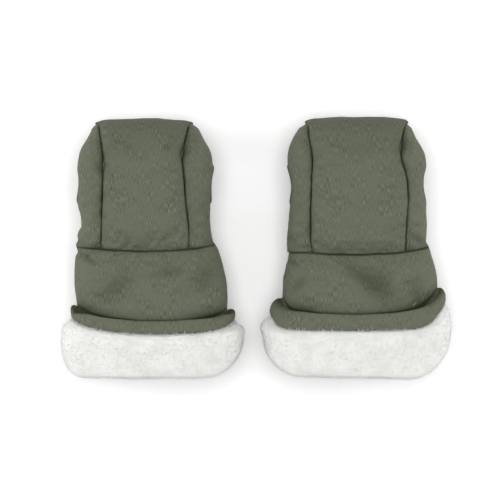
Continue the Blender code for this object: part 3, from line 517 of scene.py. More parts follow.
RIGHT = Mitt(
    name="right",
    outside=1,
    seed=47,
    cuff_width=0.202,
    body_width=0.148,
    panel_width=0.101,
    cuff_length=0.0725,
    hem_width=0.0172,
    lean=-0.001,
    tip_draw=-0.15,
    seam_shift=0.0014,
    mouth_tilt=0.0018,
    low_side=Side(
        width_shares=(
            0.813, 0.94, 1.008, 1.009, 0.982, 1.004,
            1.032, 1.017, 1.066, 1.093, 1.1, 1.1,
        ),
        seam_shares=(1.07, 1.057, 1.016, 1.024, 1.04, 1.051, 1.042, 1.016, *WAIST_TO_MOUTH),
        corner_width=CORNER_WIDTH * 1.02,
        corner_drop=CORNER_DROP * 0.84,
        dips=((0.045, 0.016, 0.0012), (0.115, 0.012, 0.0014)),
        way_swell=0.0008,
        wrist_swell=0.0012,
        wrist_fade=0.014,
        rise=0.0165,
        slow=0.30,
        low_slow=0.08,
        steep=24,
        pocket=HEM_POCKET * 1.0,
        roll=0.0078,
        tilt=0.0042,
        tuck=0.0,
    ),
    high_side=Side(
        width_shares=(
            0.776, 0.85, 0.958, 0.968, 0.978, 0.993,
            0.989, 1.054, 1.145, 1.15, 1.15, 1.15,
        ),
        seam_shares=(1.02, 0.923, 0.852, 0.968, 1.002, 0.97, 0.968, 0.974, *WAIST_TO_MOUTH),
        corner_width=CORNER_WIDTH * 1.14,
        corner_drop=CORNER_DROP * 1.14,
        dips=((0.029, 0.009, 0.0042), (0.056, 0.012, 0.0012)),
        way_swell=0.0012,
        wrist_swell=0.0030,
        wrist_fade=0.014,
        rise=0.0275,
        slow=0.35,
        low_slow=0.16,
        steep=12,
        pocket=HEM_POCKET * 0.4,
        roll=0.0050,
        tilt=0.0016,
        tuck=0.0,
    ),
    waist_line=((-0.075, -0.0010), (-0.040, 0.0016), (0.035, 0.0010), (0.075, -0.0048)),
    creases=(
        (-0.0700, 0.1510, -35, 0.0120, 0.0028, -0.0026),
        (-0.0760, 0.1600, -60, 0.0100, 0.0030, -0.0013),
        (-0.0620, 0.1760, 50, 0.0100, 0.0060, -0.0022),
        (0.0020, 0.1660, -40, 0.0220, 0.0080, -0.0029),
        (0.0250, 0.1780, -50, 0.0230, 0.0150, -0.0032),
        (0.0620, 0.1860, -70, 0.0140, 0.0090, -0.0022),
        (-0.0350, 0.1700, 20, 0.0180, 0.0080, 0.0013),
        (0.0450, 0.1700, 60, 0.0180, 0.0080, 0.0013),
        (-0.0760, 0.1240, -30, 0.0100, 0.0045, -0.0032),
        (0.0640, 0.1290, -20, 0.0090, 0.0035, -0.0026),
        (0.0, 0.0320, 0, 0.0300, 0.0080, -0.0010),
    ),
)


def lengths(points, axis):
    """Running length along one axis of a grid, from zero."""
    steps = np.linalg.norm(np.diff(points, axis=axis), axis=-1)
    start = np.zeros_like(np.take(steps, [0], axis=axis))
    return np.concatenate([start, np.cumsum(steps, axis=axis)], axis=axis)


def spaced(length, step, start=True, end=True):
    """Distances from 0 to 1, closer together near the ends that are sewn."""
    even = np.linspace(0, 1, max(int(length / step), 8))
    fine = EDGE_STEPS / length
    parts = [even]
    if start:
        parts.append(fine)
    if end:
        parts.append(1 - fine)
    found = np.unique(np.round(np.concatenate(parts), 9))
    reach = fine[-1] * 1.15
    keep = np.ones(len(found), bool)
    if start:
        keep &= (found >= reach) | np.isin(found, np.round(fine, 9))
    if end:
        keep &= (found <= 1 - reach) | np.isin(found, np.round(1 - fine, 9))
    return found[keep]


def turns(count):
    """Angles of a full turn in even steps."""
    return np.linspace(0, 2 * np.pi, count, endpoint=False)


def columns_round(girth, step):
    """How many steps go round a girth, as a multiple of four."""
    return int(girth / step) // 4 * 4


def tip_curve(turn):
    """Distances from the tip at turns round its curve, from 0 to a quarter."""
    return TIP_RADIUS * (1 - np.cos(turn) ** (2 / TIP_POWER))


def hand_stations(step):
    """Distances from the tip: those round its curve, and those from there to the waist seam."""
    round_tip = tip_curve(np.linspace(0, np.pi / 2, int(TIP_RADIUS * 1.57 / step)))
    straight = HAND_END - TIP_RADIUS
    return round_tip, TIP_RADIUS + straight * spaced(straight, step, start=False)


def array_mesh(name, points, groups):
    """A mesh from points and groups of faces, with the point number of each face corner."""
    mesh = bpy.data.meshes.new(name)
    flat = np.ascontiguousarray(points.reshape(-1, 3), dtype=np.float64)
    groups = [np.asarray(group) for group in groups]
    counts = np.concatenate([np.full(len(group), group.shape[1]) for group in groups])
    corners = np.concatenate([group.reshape(-1) for group in groups])
    starts = np.concatenate([[0], np.cumsum(counts)[:-1]])
    mesh.vertices.add(len(flat))
    mesh.vertices.foreach_set("co", flat.reshape(-1))
    mesh.loops.add(len(corners))
    mesh.loops.foreach_set("vertex_index", corners.astype(np.int32))
    mesh.polygons.add(len(counts))
    mesh.polygons.foreach_set("loop_start", starts.astype(np.int32))
    return mesh, corners


def write_map(mesh, name, uv, **options):
    """Write a UV map from one (u, v) pair for each face corner."""
    layer = mesh.uv_layers.new(name=name, **options)
    layer.uv.foreach_set("vector", uv.astype(np.float32).reshape(-1))


def add_object(name, mesh, material):
    """Put a smooth mesh in the scene as an object."""
    mesh.shade_smooth()
    if material:
        mesh.materials.append(material)
    made = bpy.data.objects.new(name, mesh)
    bpy.context.scene.collection.objects.link(made)
    return made


def add_mesh(name, points, faces, uv=None, material=None):
    """A mesh object from arrays, with its faces turned outwards."""
    mesh, corners = array_mesh(name, points, faces)
    if uv is not None:
        write_map(mesh, "fabric", uv.reshape(-1, 2)[corners])
    mesh.update(calc_edges=True)
    mesh.validate()
    shape = bmesh.new()
    shape.from_mesh(mesh)
    bmesh.ops.recalc_face_normals(shape, faces=shape.faces)
    if shape.calc_volume(signed=True) < 0:
        bmesh.ops.reverse_faces(shape, faces=shape.faces)
    shape.to_mesh(mesh)
    shape.free()
    return add_object(name, mesh, material)


def grid_faces(index):
    """Quads between the neighbours in a grid of point numbers."""
    a, b, c, d = index[:-1, :-1], index[:-1, 1:], index[1:, 1:], index[1:, :-1]
    return np.stack([a, b, c, d], axis=-1).reshape(-1, 4)


def tube_faces(index):
    """Quads between rows of point numbers, with each row closed to a loop."""
    return grid_faces(np.concatenate([index, index[:, :1]], axis=1))


def sheet_faces(rows, columns):
    """Faces of a closed sheet: an outer grid, an inner grid after it, and the rim between."""
    index = np.arange(rows * columns).reshape(rows, columns)
    outside = grid_faces(index)
    inside = outside[:, ::-1] + rows * columns
    rim = np.concatenate([index[0, :-1], index[:-1, -1], index[-1, :0:-1], index[:0:-1, 0]])
    after = np.roll(rim, -1)
    edge = np.stack([after, rim, rim + rows * columns, after + rows * columns], axis=-1)
    return [np.concatenate([outside, inside, edge])]


def sheet_piece(mitt, label, outer, inner, material):
    """A closed piece of fabric between two grids; its UV map is in metres on the cloth."""
    outer, inner = mitt.to_world(outer), mitt.to_world(inner)
    rows, columns = outer.shape[:2]
    across = lengths(outer, 1)
    across = across - across[:, [columns // 2]]
    down = lengths(outer, 0)[:, [columns // 2]] + np.zeros_like(across)
    uv = np.stack([across, down], axis=-1).reshape(-1, 2)
    points = np.concatenate([outer.reshape(-1, 3), inner.reshape(-1, 3)])
    faces = sheet_faces(rows, columns)
    return add_mesh(f"{mitt.name}_{label}", points, faces, np.concatenate([uv, uv]), material)


def ring_map(world):
    """The map of a tube's points in metres: round each ring, and along its first column."""
    across = lengths(world, 1)
    down = lengths(world, 0)[:, :1] + np.zeros_like(across)
    return np.stack([across, down], axis=-1).reshape(-1, 2)


def ring_piece(name, rings, material):
    """A closed ring: rows of points round the loop, the last row joined to the first.
    A doubled first column keeps the UV map whole round the loop."""
    rows, columns = rings.shape[:2]
    index = np.arange(rows * columns).reshape(rows, columns)
    faces = tube_faces(np.concatenate([index, index[:1]]))
    made = add_mesh(name, rings, [faces], None, material)
    across = lengths(np.concatenate([rings, rings[:, :1]], axis=1), 1)
    rows_down = lengths(np.concatenate([rings, rings[:1]], axis=0), 0)
    around = np.broadcast_to(across.mean(axis=0)[None, :], (rows + 1, columns + 1))
    down = np.broadcast_to(rows_down.mean(axis=1)[:, None], (rows + 1, columns + 1))
    map_corners(made, index, around, down)
    return made


def point_of_corners(mesh):
    """The point number of each face corner."""
    corners = np.zeros(len(mesh.loops), np.int32)
    mesh.loops.foreach_get("vertex_index", corners)
    return corners


def map_corners(made, index, around, down):
    """Write a ring's UV map by face corner, so that the last column ends where it should."""
    rows, columns = index.shape
    corners = point_of_corners(made.data).reshape(-1, 4)
    row = corners // columns
    column = corners % columns
    wraps_row = (row.max(axis=1) == rows - 1) & (row.min(axis=1) == 0)
    wraps_column = (column.max(axis=1) == columns - 1) & (column.min(axis=1) == 0)
    row = np.where(wraps_row[:, None] & (row == 0), rows, row)
    column = np.where(wraps_column[:, None] & (column == 0), columns, column)
    write_map(made.data, "fabric", np.stack([around[row, column], down[row, column]], axis=-1))


def mark_painted_shade(made, values):
    """Write the painted shade map: how far the cloth is painted dark, 0 to 1, by vertex. Vertices
    past the end of the values keep 0."""
    corners = point_of_corners(made.data)
    whole = np.zeros(len(made.data.vertices))
    values = np.clip(values, 0, 1).reshape(-1)
    whole[: len(values)] = values
    uv = np.stack([whole[corners], np.zeros(len(corners))], axis=-1)
    write_map(made.data, "pinch", uv, do_init=False)


def painted_seam_shade(mitt, points, distance, soft=0.27, width=0.0028):
    """Painted shade beside a seam: a narrow dark line that is darker in some stretches than in
    others, and a softer edge."""
    uneven = 0.5 + 0.5 * noise(points, 0.016, mitt.seed + 21)
    line = (0.36 + 0.52 * uneven) * np.exp(-((distance / 0.0010) ** 2))
    return line + (0.10 + soft * uneven) * np.exp(-distance / width)


def rounded(distance, radius):
    """How far an edge rounded to a radius falls away, at a distance from the edge."""
    return radius - np.sqrt(np.maximum(radius**2 - np.clip(radius - distance, 0, radius) ** 2, 0))


def shoulder(distance, width, turn=0.0010):
    """A panel's rise at a distance from its seam: a rounded edge, then a soft pillow that
    reaches its height over the given width."""
    return sizes().puff * (1 - np.exp(-distance / width)) - rounded(distance, turn)


def creases(mitt, points):
    """The mitt's own creases and swells: long low humps or hollows, each a bell curve along and
    across its line, seen from above."""
    world = mitt.to_world(points)
    x = world[..., 0] - mitt.cuff_x
    s = mitt.tip_y - world[..., 1]
    above = smooth_step((points[..., 2] - HAND_HEIGHT / 4) / (HAND_HEIGHT / 4))
    total = np.zeros(x.shape)
    for across, down, turn, length, width, height in mitt.creases:
        c, d = np.cos(np.radians(turn)), np.sin(np.radians(turn))
        u = (x - across) * c - (s - down) * d
        v = (x - across) * d + (s - down) * c
        total += height * np.exp(-((u / length) ** 2) - (v / width) ** 2)
    return total * above


def unevenness(mitt, points, *waves):
    """A sum of noises, each given by its height, its size and its step on the mitt's seed."""
    return sum(height * noise(points, size, mitt.seed + step) for height, size, step in waves)


def folds(mitt, points, distance):
    """Soft unevenness of padded cloth: broad swells and short puckers by the seams, as noise,
    and the mitt's own creases."""
    swell = unevenness(mitt, points, (0.0012, 0.060, 0), (0.0009, 0.027, 1))
    stretched = points * np.array([1.0, 0.4, 1.0])
    swell = swell + 0.0003 * noise(stretched, 0.012, mitt.seed + 2)
    near = np.exp(-distance / 0.008)
    pucker = 0.0009 * noise(points, 0.0095, mitt.seed + 3) * near
    return swell * (1 - np.exp(-distance / 0.010)) + pucker + creases(mitt, points)


def read_rows(values, at):
    """Rows of a table at fractional row numbers, on smooth curves through the rows."""
    last = len(values) - 1
    i = np.clip(at.astype(int), 0, last - 1)
    t = (at - i)[:, None]
    before, here, after, later = (values[np.clip(i + k, 0, last)] for k in (-1, 0, 1, 2))
    bend = 2 * before - 5 * here + 4 * after - later
    return here + t / 2 * (after - before + t * (bend + t * (3 * (here - after) + later - before)))


def sewn_cloth(name, points, faces, held):
    """The points after the cloth has been blown up from inside for CLOTH_FRAMES frames, cut a
    little long and held where it is sewn, without gravity."""
    mesh = bpy.data.meshes.new(name)
    mesh.from_pydata(points.reshape(-1, 3), [], faces)
    cloth_object = bpy.data.objects.new(name, mesh)
    scene = bpy.context.scene
    scene.collection.objects.link(cloth_object)
    group = cloth_object.vertex_groups.new(name="sewn")
    group.add(np.flatnonzero(held.reshape(-1)).tolist(), 1.0, "REPLACE")
    cloth = cloth_object.modifiers.new("cloth", "CLOTH")
    for setting, value in CLOTH_SETTINGS.items():
        setattr(cloth.settings, setting, value)
    cloth.settings.vertex_group_mass = group.name
    cloth.settings.effector_weights.gravity = 0.0
    cloth.point_cache.frame_end = CLOTH_FRAMES
    for number in range(1, CLOTH_FRAMES + 1):
        scene.frame_set(number)
    shaped = cloth_object.evaluated_get(bpy.context.evaluated_depsgraph_get())
    after = np.zeros(len(mesh.vertices) * 3)
    shaped.data.vertices.foreach_get("co", after)
    scene.frame_set(1)
    bpy.data.objects.remove(cloth_object)
    bpy.data.meshes.remove(mesh)
    return after.reshape(points.shape)


def broad_swell(values, closed):
    """A grid's values blurred over their neighbours, across the join of a closed grid too."""
    for _ in range(CLOTH_BLUR):
        padded = np.pad(values, 1, mode="edge")
        if closed:
            padded[:, 0], padded[:, -1] = padded[:, -2], padded[:, 1]
        sides = padded[1:-1, :-2] + padded[1:-1, 2:] + padded[:-2, 1:-1] + padded[2:, 1:-1]
        values = values / 2 + sides / 8
    return values


def wrinkles(name, points, normals, distance, closed=False):
    """The relief of padded cloth on a grid: a coarse copy is run as cloth with its seams held,
    the broad swell that the panel has already is taken off, and the rest is read back along
    the normals, capped, and faded out at the seams."""
    rows, columns = points.shape[:2]
    row_count = max(int(lengths(points, 0)[-1].mean() / CLOTH_STEP), 8)
    column_count = max(int(lengths(points, 1)[:, -1].mean() / CLOTH_STEP), 8)
    row_at = np.linspace(0, rows - 1, row_count).round().astype(int)
    last = columns if closed else columns - 1
    column_at = np.linspace(0, last, column_count, endpoint=not closed).round().astype(int)
    coarse = points[row_at][:, column_at]
    out = normals[row_at][:, column_at]
    index = np.arange(row_count * column_count).reshape(row_count, column_count)
    faces = tube_faces(index) if closed else grid_faces(index)
    middle = (row_count // 2, column_count // 2)
    around = coarse[middle[0], middle[1] + 1] - coarse[middle]
    down = coarse[middle[0] + 1, middle[1]] - coarse[middle]
    if np.dot(np.cross(around, down), out[middle]) < 0:
        faces = faces[:, ::-1]
    held = np.zeros((row_count, column_count), bool)
    held[[0, -1]] = True
    if not closed:
        held[:, [0, -1]] = True
    after = sewn_cloth(name, coarse, faces, held)
    moved = ((after - coarse) * out).sum(axis=-1)
    relief = np.clip(moved - broad_swell(moved, closed), -CLOTH_CAP, CLOTH_CAP)
    if closed:
        relief = np.concatenate([relief[:, -3:], relief, relief[:, :4]], axis=1)
        column_at = np.concatenate([column_at[-3:] - columns, column_at, column_at[:4] + columns])
    fine = read_rows(relief, np.interp(np.arange(rows), row_at, np.arange(row_count)))
    columns_read = np.interp(np.arange(columns), column_at, np.arange(len(column_at)))
    fine = read_rows(fine.T, columns_read).T
    return fine * (1 - np.exp(-distance / 0.0025))


def hollows(mitt, points):
    """Painted shade in the mitt's own creases: a share of each hollow's depth."""
    return np.clip(-creases(mitt, points) / 0.0040, 0, 1) * 0.52


def seam_dips(mitt, side, s, distance):
    """Hollows beside a long seam where the padding is pinched, fading away from the seam."""
    one = mitt.low_side if side < 0 else mitt.high_side
    total = np.zeros(np.broadcast(s, distance).shape)
    for down, length, depth in one.dips:
        total += depth * np.exp(-(((s - down) / length) ** 2)) * np.exp(-distance / 0.0038)
    return total


def waist_wave(mitt, x):
    """How the waist seam wanders along the mitt, the same for the pieces on both sides of it: a
    cubic through its four points, with a little noise."""
    places, offsets = np.array(mitt.waist_line).T
    line = np.polyval(np.polyfit(places, offsets, 3), np.clip(x, places[0], places[-1]))
    wander = np.stack([x, np.zeros_like(x), np.zeros_like(x)], axis=-1)
    line = line + 0.0007 * noise(wander, 0.030, mitt.seed + 9)
    return line + 0.0003 * noise(wander, 0.012, mitt.seed)


def hand_wave(mitt, x, s):
    """The waist seam's wander, faded in between the tip's curve and the seam."""
    return waist_wave(mitt, x) * smooth_step((s - TIP_RADIUS) / (HAND_END - TIP_RADIUS))


def way_swell(mitt, side, s, z):
    """The side's fullness over the handlebar's way, which keeps the way's edge out: a bell curve
    along the mitt, and up from the bar's height to above the arch."""
    down = np.exp(-(((s - BAR_WAY_DISTANCE) / 0.026) ** 2))
    up = smooth_step((z - BAR_HEIGHT + 0.010) / 0.026) * (1 - smooth_step((z - 0.070) / 0.014))
    return mitt.by_side(side, "way_swell") * down * up


def fabric_piece(made, rides, slot, *nodes):
    """Attach a finished piece to what it rides on and hide the parts that it stands for. Its
    finish, slot, is not used.
    """
    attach(made, rides)
    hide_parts(*nodes)
    return made


def centre_panel(mitt, material):
    """The strip over the back of the hand, round the tip and under it: a path of stations along
    the middle, with each station's section run across between the two long seams. Its height
    is a crown with folds, the cloth's relief, a drawn-in tip and dips beside the seams."""
    step = sizes().grid_step
    round_tip, rest = hand_stations(step)
    lower = np.concatenate([round_tip[1:], [HINGE_DISTANCE - SEAM_GAP / 2]])
    upper = np.concatenate([rest[::-1], round_tip[-2:0:-1]])
    across = spaced(mitt.panel_width, step)[None, :] * 2 - 1

    def strip(s, low):
        s = s[:, None]
        power = LOW_POWER if low else TOP_POWER
        corner = 0.06 * np.exp(-((s / 0.007) ** 2))
        x = (mitt.seam_distance(s, across) - SEAM_GAP / 2) * (1 + corner) * across
        if not low:
            s = s + hand_wave(mitt, x, s)
        angle = mitt.angle_at(x, s, power)
        return mitt.point(s, -angle if low else angle)

    ridge = strip(np.array([0.0]), False)
    base = np.concatenate([strip(upper, False), ridge, strip(lower, True)])
    normals = mitt.normals(base)
    normals[len(upper)] = (0, -1, 0)
    stations = np.concatenate([upper, [0.0], lower])[:, None]
    side = (1 - np.abs(across)) * mitt.seam_distance(stations, across)
    down = lengths(base, 0)
    distance = np.minimum(side, down)
    broad = (CENTRE_CROWN - sizes().puff) * (1 - np.abs(across) ** 2)
    height = shoulder(side, 0.0035) + shoulder(down, 0.0060, 0.0016) - sizes().puff + broad
    height = height + folds(mitt, base, distance)
    relief = wrinkles(f"{mitt.name}_centre_cloth", base, normals, distance)
    height = height + relief * smooth_step((stations - 0.004) / 0.016)
    drawn_in = np.exp(-((stations / 0.011) ** 2)) * (mitt.tip_draw + 0.75 * across**2)
    height = height - sizes().puff * drawn_in
    # Painted shade, painted on the cloth beside the seams, in creases, at the tip and in the dips
    pinch = painted_seam_shade(mitt, base, side) + painted_seam_shade(mitt, base, down, 0.34, 0.0042)
    pinch = pinch + hollows(mitt, base)
    # Painted shade: the panel is painted darker towards the tip
    pinch = pinch + 0.12 * (1 - smooth_step(stations / 0.055))
    for hand in (-1, 1):
        one_side = seam_dips(mitt, hand, stations, side) * 0.45
        height = height - np.where(across * hand > 0, one_side, 0) * (base[..., 2] > BAR_HEIGHT)
        pinch = pinch + np.where(across * hand > 0, one_side / 0.0035, 0)
    outer = base + normals * height[..., None]
    outer[..., 2] = np.maximum(outer[..., 2], 0)
    inner = base - normals * SHELL_THICKNESS
    made = sheet_piece(mitt, "shell_centre", outer, inner, material)
    mark_painted_shade(made, pinch)
    return fabric_piece(made, "muffs", "softshell", f"{mitt.name}_centre_panel")


def bar_cutter(mitt):
    """The handlebar's way: a round channel across the mitt, open downwards."""
    turn = np.linspace(0, np.pi, 49)
    s = BAR_WAY_DISTANCE - BAR_CUT_RADIUS * np.cos(turn)
    z = BAR_HEIGHT + BAR_CUT_RADIUS * np.sin(turn)
    s = np.concatenate([s[:1], s, s[-1:]])
    z = np.concatenate([[-OVERRUN], z, [-OVERRUN]])
    reach = mitt.cuff_width / 2 + OVERRUN
    ends = [np.stack([np.full(len(s), x), s, z], axis=-1) for x in (-reach, reach)]
    points = mitt.to_world(np.concatenate(ends))
    count = len(s)
    first = np.arange(count)
    after = np.roll(first, -1)
    wall = np.stack([after, first, first + count, after + count], axis=-1)
    ends = [first[None, :], first[None, ::-1] + count]
    return add_mesh(f"{mitt.name}_bar_cutter", points, [wall, *ends])


def cut_way(made, cutter):
    """Take the handlebar's way out of a piece and apply the cut."""
    hole = made.modifiers.new("way", "BOOLEAN")
    hole.object = cutter
    hole.operation = "DIFFERENCE"
    hole.solver = "EXACT"
    graph = bpy.context.evaluated_depsgraph_get()
    mesh = bpy.data.meshes.new_from_object(made.evaluated_get(graph))
    old = made.data
    made.modifiers.clear()
    made.data = mesh
    bpy.data.meshes.remove(old)


def side_panel(mitt, side, cutter, material):
    """One gusset: sections swept from the top seam round the side to the bottom seam, puffed
    beside its seams, with folds, the cloth's relief, dips and fullness over the way."""
    step = sizes().grid_step
    round_tip, rest = hand_stations(step)
    s = np.concatenate([[SEAM_GAP], round_tip[1:], rest[1:]])[:, None]
    seam = mitt.seam_distance(s, side) + SEAM_GAP / 2
    seam = seam + SHELL_THICKNESS / 2 * (1 - mitt.tip_share(s))
    upper = mitt.angle_at(side * seam, s, TOP_POWER)
    lower = -mitt.angle_at(side * seam, s, LOW_POWER)
    if side < 0:
        lower = lower + 2 * np.pi
    angle = upper + (lower - upper) * spaced(SIDE_GIRTH, step)[None, :]
    base = mitt.point(s, angle)
    base = mitt.point(s + hand_wave(mitt, base[..., 0], s), angle)
    normals = mitt.normals(base)
    across = lengths(base, 1)
    edge = np.minimum(across, across[:, -1:] - across)
    end = (HAND_END - s) + np.zeros_like(edge)
    distance = np.minimum(edge, end)
    at_side = np.abs(np.cos(angle)) ** 4
    tip = smooth_step((s - 0.001) / 0.014)
    height = shoulder(edge, 0.0068) * smooth_step((s + 0.004) / 0.044)
    height = height - 0.0044 * (1 - smooth_step(s / 0.010))
    height = height + (shoulder(end, 0.0066, 0.0016) - sizes().puff) * (1 - at_side)
    height = height + folds(mitt, base, distance) * tip
    relief = wrinkles(f"{mitt.name}_side_cloth", base, normals, distance)
    height = height + relief * smooth_step((s - 0.004) / 0.020) * (1 - 0.9 * at_side)
    height = height - seam_dips(mitt, side, s, across) + way_swell(mitt, side, s, base[..., 2])
    outer = base + normals * height[..., None]
    inner = base - normals * SHELL_THICKNESS
    place = mitt.place(side)
    made = sheet_piece(mitt, f"shell_{place}_side", outer, inner, material)
    # Painted shade on the cloth: beside the seams, in the dips by the seams and in the creases
    dips = seam_dips(mitt, side, s, across) / 0.0042
    seams = painted_seam_shade(mitt, base, edge) + painted_seam_shade(mitt, base, end, 0.34, 0.0042)
    mark_painted_shade(made, seams + dips + hollows(mitt, base))
    cut_way(made, cutter)
    return fabric_piece(made, "muffs", "softshell", f"{mitt.name}_{place}_side_panel")


def palm_panel(mitt, material):
    """The underside behind the handlebar, stepped up over the flap."""
    step = sizes().grid_step
    palm_length = HAND_END - PALM_DISTANCE
    s = PALM_DISTANCE + palm_length * spaced(palm_length, step)[:, None]
    across = spaced(mitt.panel_width, step)[None, :] * 2 - 1
    lift = smooth_step((WAIST_LENGTH - s) / FLAP_MARGIN)
    x = (mitt.seam_distance(s, across) - SEAM_GAP / 2 - SHELL_THICKNESS * lift) * across
    base = mitt.point(s, -mitt.angle_at(x, s, LOW_POWER))
    normals = mitt.normals(base) * (1 - lift[..., None]) + np.array([0, 0, -1]) * lift[..., None]
    outer = base.copy()
    outer[..., 2] += (PALM_HEIGHT - base[..., 2]) * lift
    inner = outer - normals * SHELL_THICKNESS
    wrinkle = 0.0005 * noise(outer, 0.012, mitt.seed + 5) * (1 - lift)
    outer = outer - normals * np.abs(wrinkle)[..., None]
    made = sheet_piece(mitt, "shell_palm", outer, inner, material)
    mark_painted_shade(made, np.zeros(1))
    return fabric_piece(made, "muffs", "softshell", f"{mitt.name}_palm_panel")


def hem_rise(mitt, hand, low_edge=False):
    """How far the hem has risen towards the tip from its middle, by the cosine of the angle
    round it: a slow part and a steep part, with other shares at its lower edge."""
    across = np.abs(hand) ** (2 / TOP_POWER)
    slow = mitt.by_side(hand, "low_slow" if low_edge else "slow")
    steep_power = mitt.by_side(hand, "steep")
    lift = slow * across**SLOW_RISE_POWER + (1 - slow) * across**steep_power
    return lift * mitt.by_side(hand, "rise")


def wrist_panel(mitt, material):
    """The sleeve: sections from the waist seam to the mouth, puffed between seam and hem, with
    the wrinkles of a cloth pass and a seam allowance that reaches under the panels."""
    step = sizes().grid_step
    top = WAIST_LENGTH + SEAM_GAP / 2
    hem = mitt.hem_distance
    puffed = top + (hem - top) * spaced(hem - top, step, True, False)
    s = np.concatenate([puffed, np.linspace(hem, SLEEVE_LENGTH, 12)[1:]])[:, None]
    angle = turns(columns_round(WRIST_GIRTH, step))[None, :]
    base = mitt.point(s, angle)
    fading = 1 - smooth_step((s - WAIST_LENGTH) / (hem - WAIST_LENGTH))
    base = mitt.point(s + waist_wave(mitt, base[..., 0]) * fading, angle)
    normals = mitt.normals(base)
    distance = (s - top) + np.zeros_like(angle)
    share = np.clip((s - WAIST_LENGTH) / (hem - WAIST_LENGTH), 0, 1)
    at_side = np.abs(np.cos(angle)) ** 4
    rise = mitt.wrist_rise(s)
    turn = shoulder(distance, 0.0030, 0.0012) - sizes().puff * (1 - np.exp(-distance / 0.0030))
    hand = np.cos(angle)
    swell = mitt.by_side(hand, "wrist_swell")
    fade = mitt.by_side(hand, "wrist_fade")
    height = rise + swell * at_side * np.exp(-distance / fade) + turn * (1 - at_side)
    before_hem = 1 - smooth_step((share - 0.85) / 0.15)
    height = height + folds(mitt, base, distance) * before_hem
    relief = wrinkles(f"{mitt.name}_wrist_cloth", base, normals, distance, True)
    height = height + relief * before_hem * (1 - 0.9 * at_side)
    pinch = np.clip(np.sin(2 * angle) * np.sign(hand), 0, 1) ** 2 * (base[..., 2] > BAR_HEIGHT)
    pinch = pinch * (0.35 + 0.65 * np.abs(hand) ** 2)
    height = height - 0.0046 * np.exp(-(((s - hem + hem_rise(mitt, hand)) / 0.009) ** 2)) * pinch
    outer = base + normals * height[..., None]
    inner = (base - normals * SHELL_THICKNESS)[::8]
    allowance = base[:1] - normals[:1] * SEAM_ALLOWANCE_DEPTH - np.array([0, SEAM_ALLOWANCE, 0])
    rings = np.concatenate([outer, inner[::-1], allowance])
    made = ring_piece(f"{mitt.name}_shell_wrist", mitt.to_world(rings), material)
    # Painted shade along the hem, in the pockets behind its ends, by the seam and in creases
    to_hem = hem - hem_rise(mitt, hand) - s
    uneven = 0.5 + 0.5 * noise(base, 0.022, mitt.seed + 22)
    painted_hem_shade = (0.10 + 0.40 * uneven) * np.exp(-np.abs(to_hem) / 0.0034)
    painted_hem_shade = painted_hem_shade + (0.30 + 0.40 * uneven) * np.exp(-((to_hem / 0.0016) ** 2))
    pocket = np.exp(-((to_hem / 0.0075) ** 2)) * pinch
    mark_painted_shade(made, painted_seam_shade(mitt, base, distance) + painted_hem_shade + 0.95 * pocket + hollows(mitt, base))
    return fabric_piece(made, "muffs", "softshell", f"{mitt.name}_wrist_panel")


def closed_curve(points, count):
    """A smooth closed curve through a few points, read at even shares of its points."""
    points = np.asarray(points, float)
    at = np.linspace(0, len(points), count, endpoint=False)
    i = at.astype(int)
    t = (at - i)[:, None]
    before, here, after, next_one = (points[(i + k) % len(points)] for k in (-1, 0, 1, 2))
    start = (after - before) / 2
    end = (next_one - here) / 2
    return (
        (1 + 2 * t) * (1 - t) ** 2 * here
        + t * (1 - t) ** 2 * start
        + t * t * (3 - 2 * t) * after
        + t * t * (t - 1) * end
    )


def cuff_surface(mitt, profile, columns):
    """Rings round the sleeve from (distance, stand-off, rise share, pocket share) points: the
    rings rise towards the tip at both sides, slowly at first and then steeply."""
    angle = turns(columns)[None, :]
    across = np.abs(np.cos(angle)) ** (2 / TOP_POWER)
    upper_lift, lower_lift = (hem_rise(mitt, np.cos(angle), low_edge) for low_edge in (False, True))
    distance, off, rise, pocket = (profile[:, i : i + 1] for i in range(4))
    lower = smooth_step((distance - mitt.hem_distance) / mitt.hem_width)
    s = distance - rise * (upper_lift * (1 - lower) + lower_lift * lower)
    base = mitt.point(s, angle)
    normals = mitt.normals(base)
    normals[..., 1] = 0
    normals /= np.linalg.norm(normals, axis=-1, keepdims=True)
    width = mitt.by_side(np.cos(angle), "pocket")
    off = off + mitt.wrist_rise(s) + width * pocket * across**POCKET_POWER
    return base + normals * off[..., None], normals


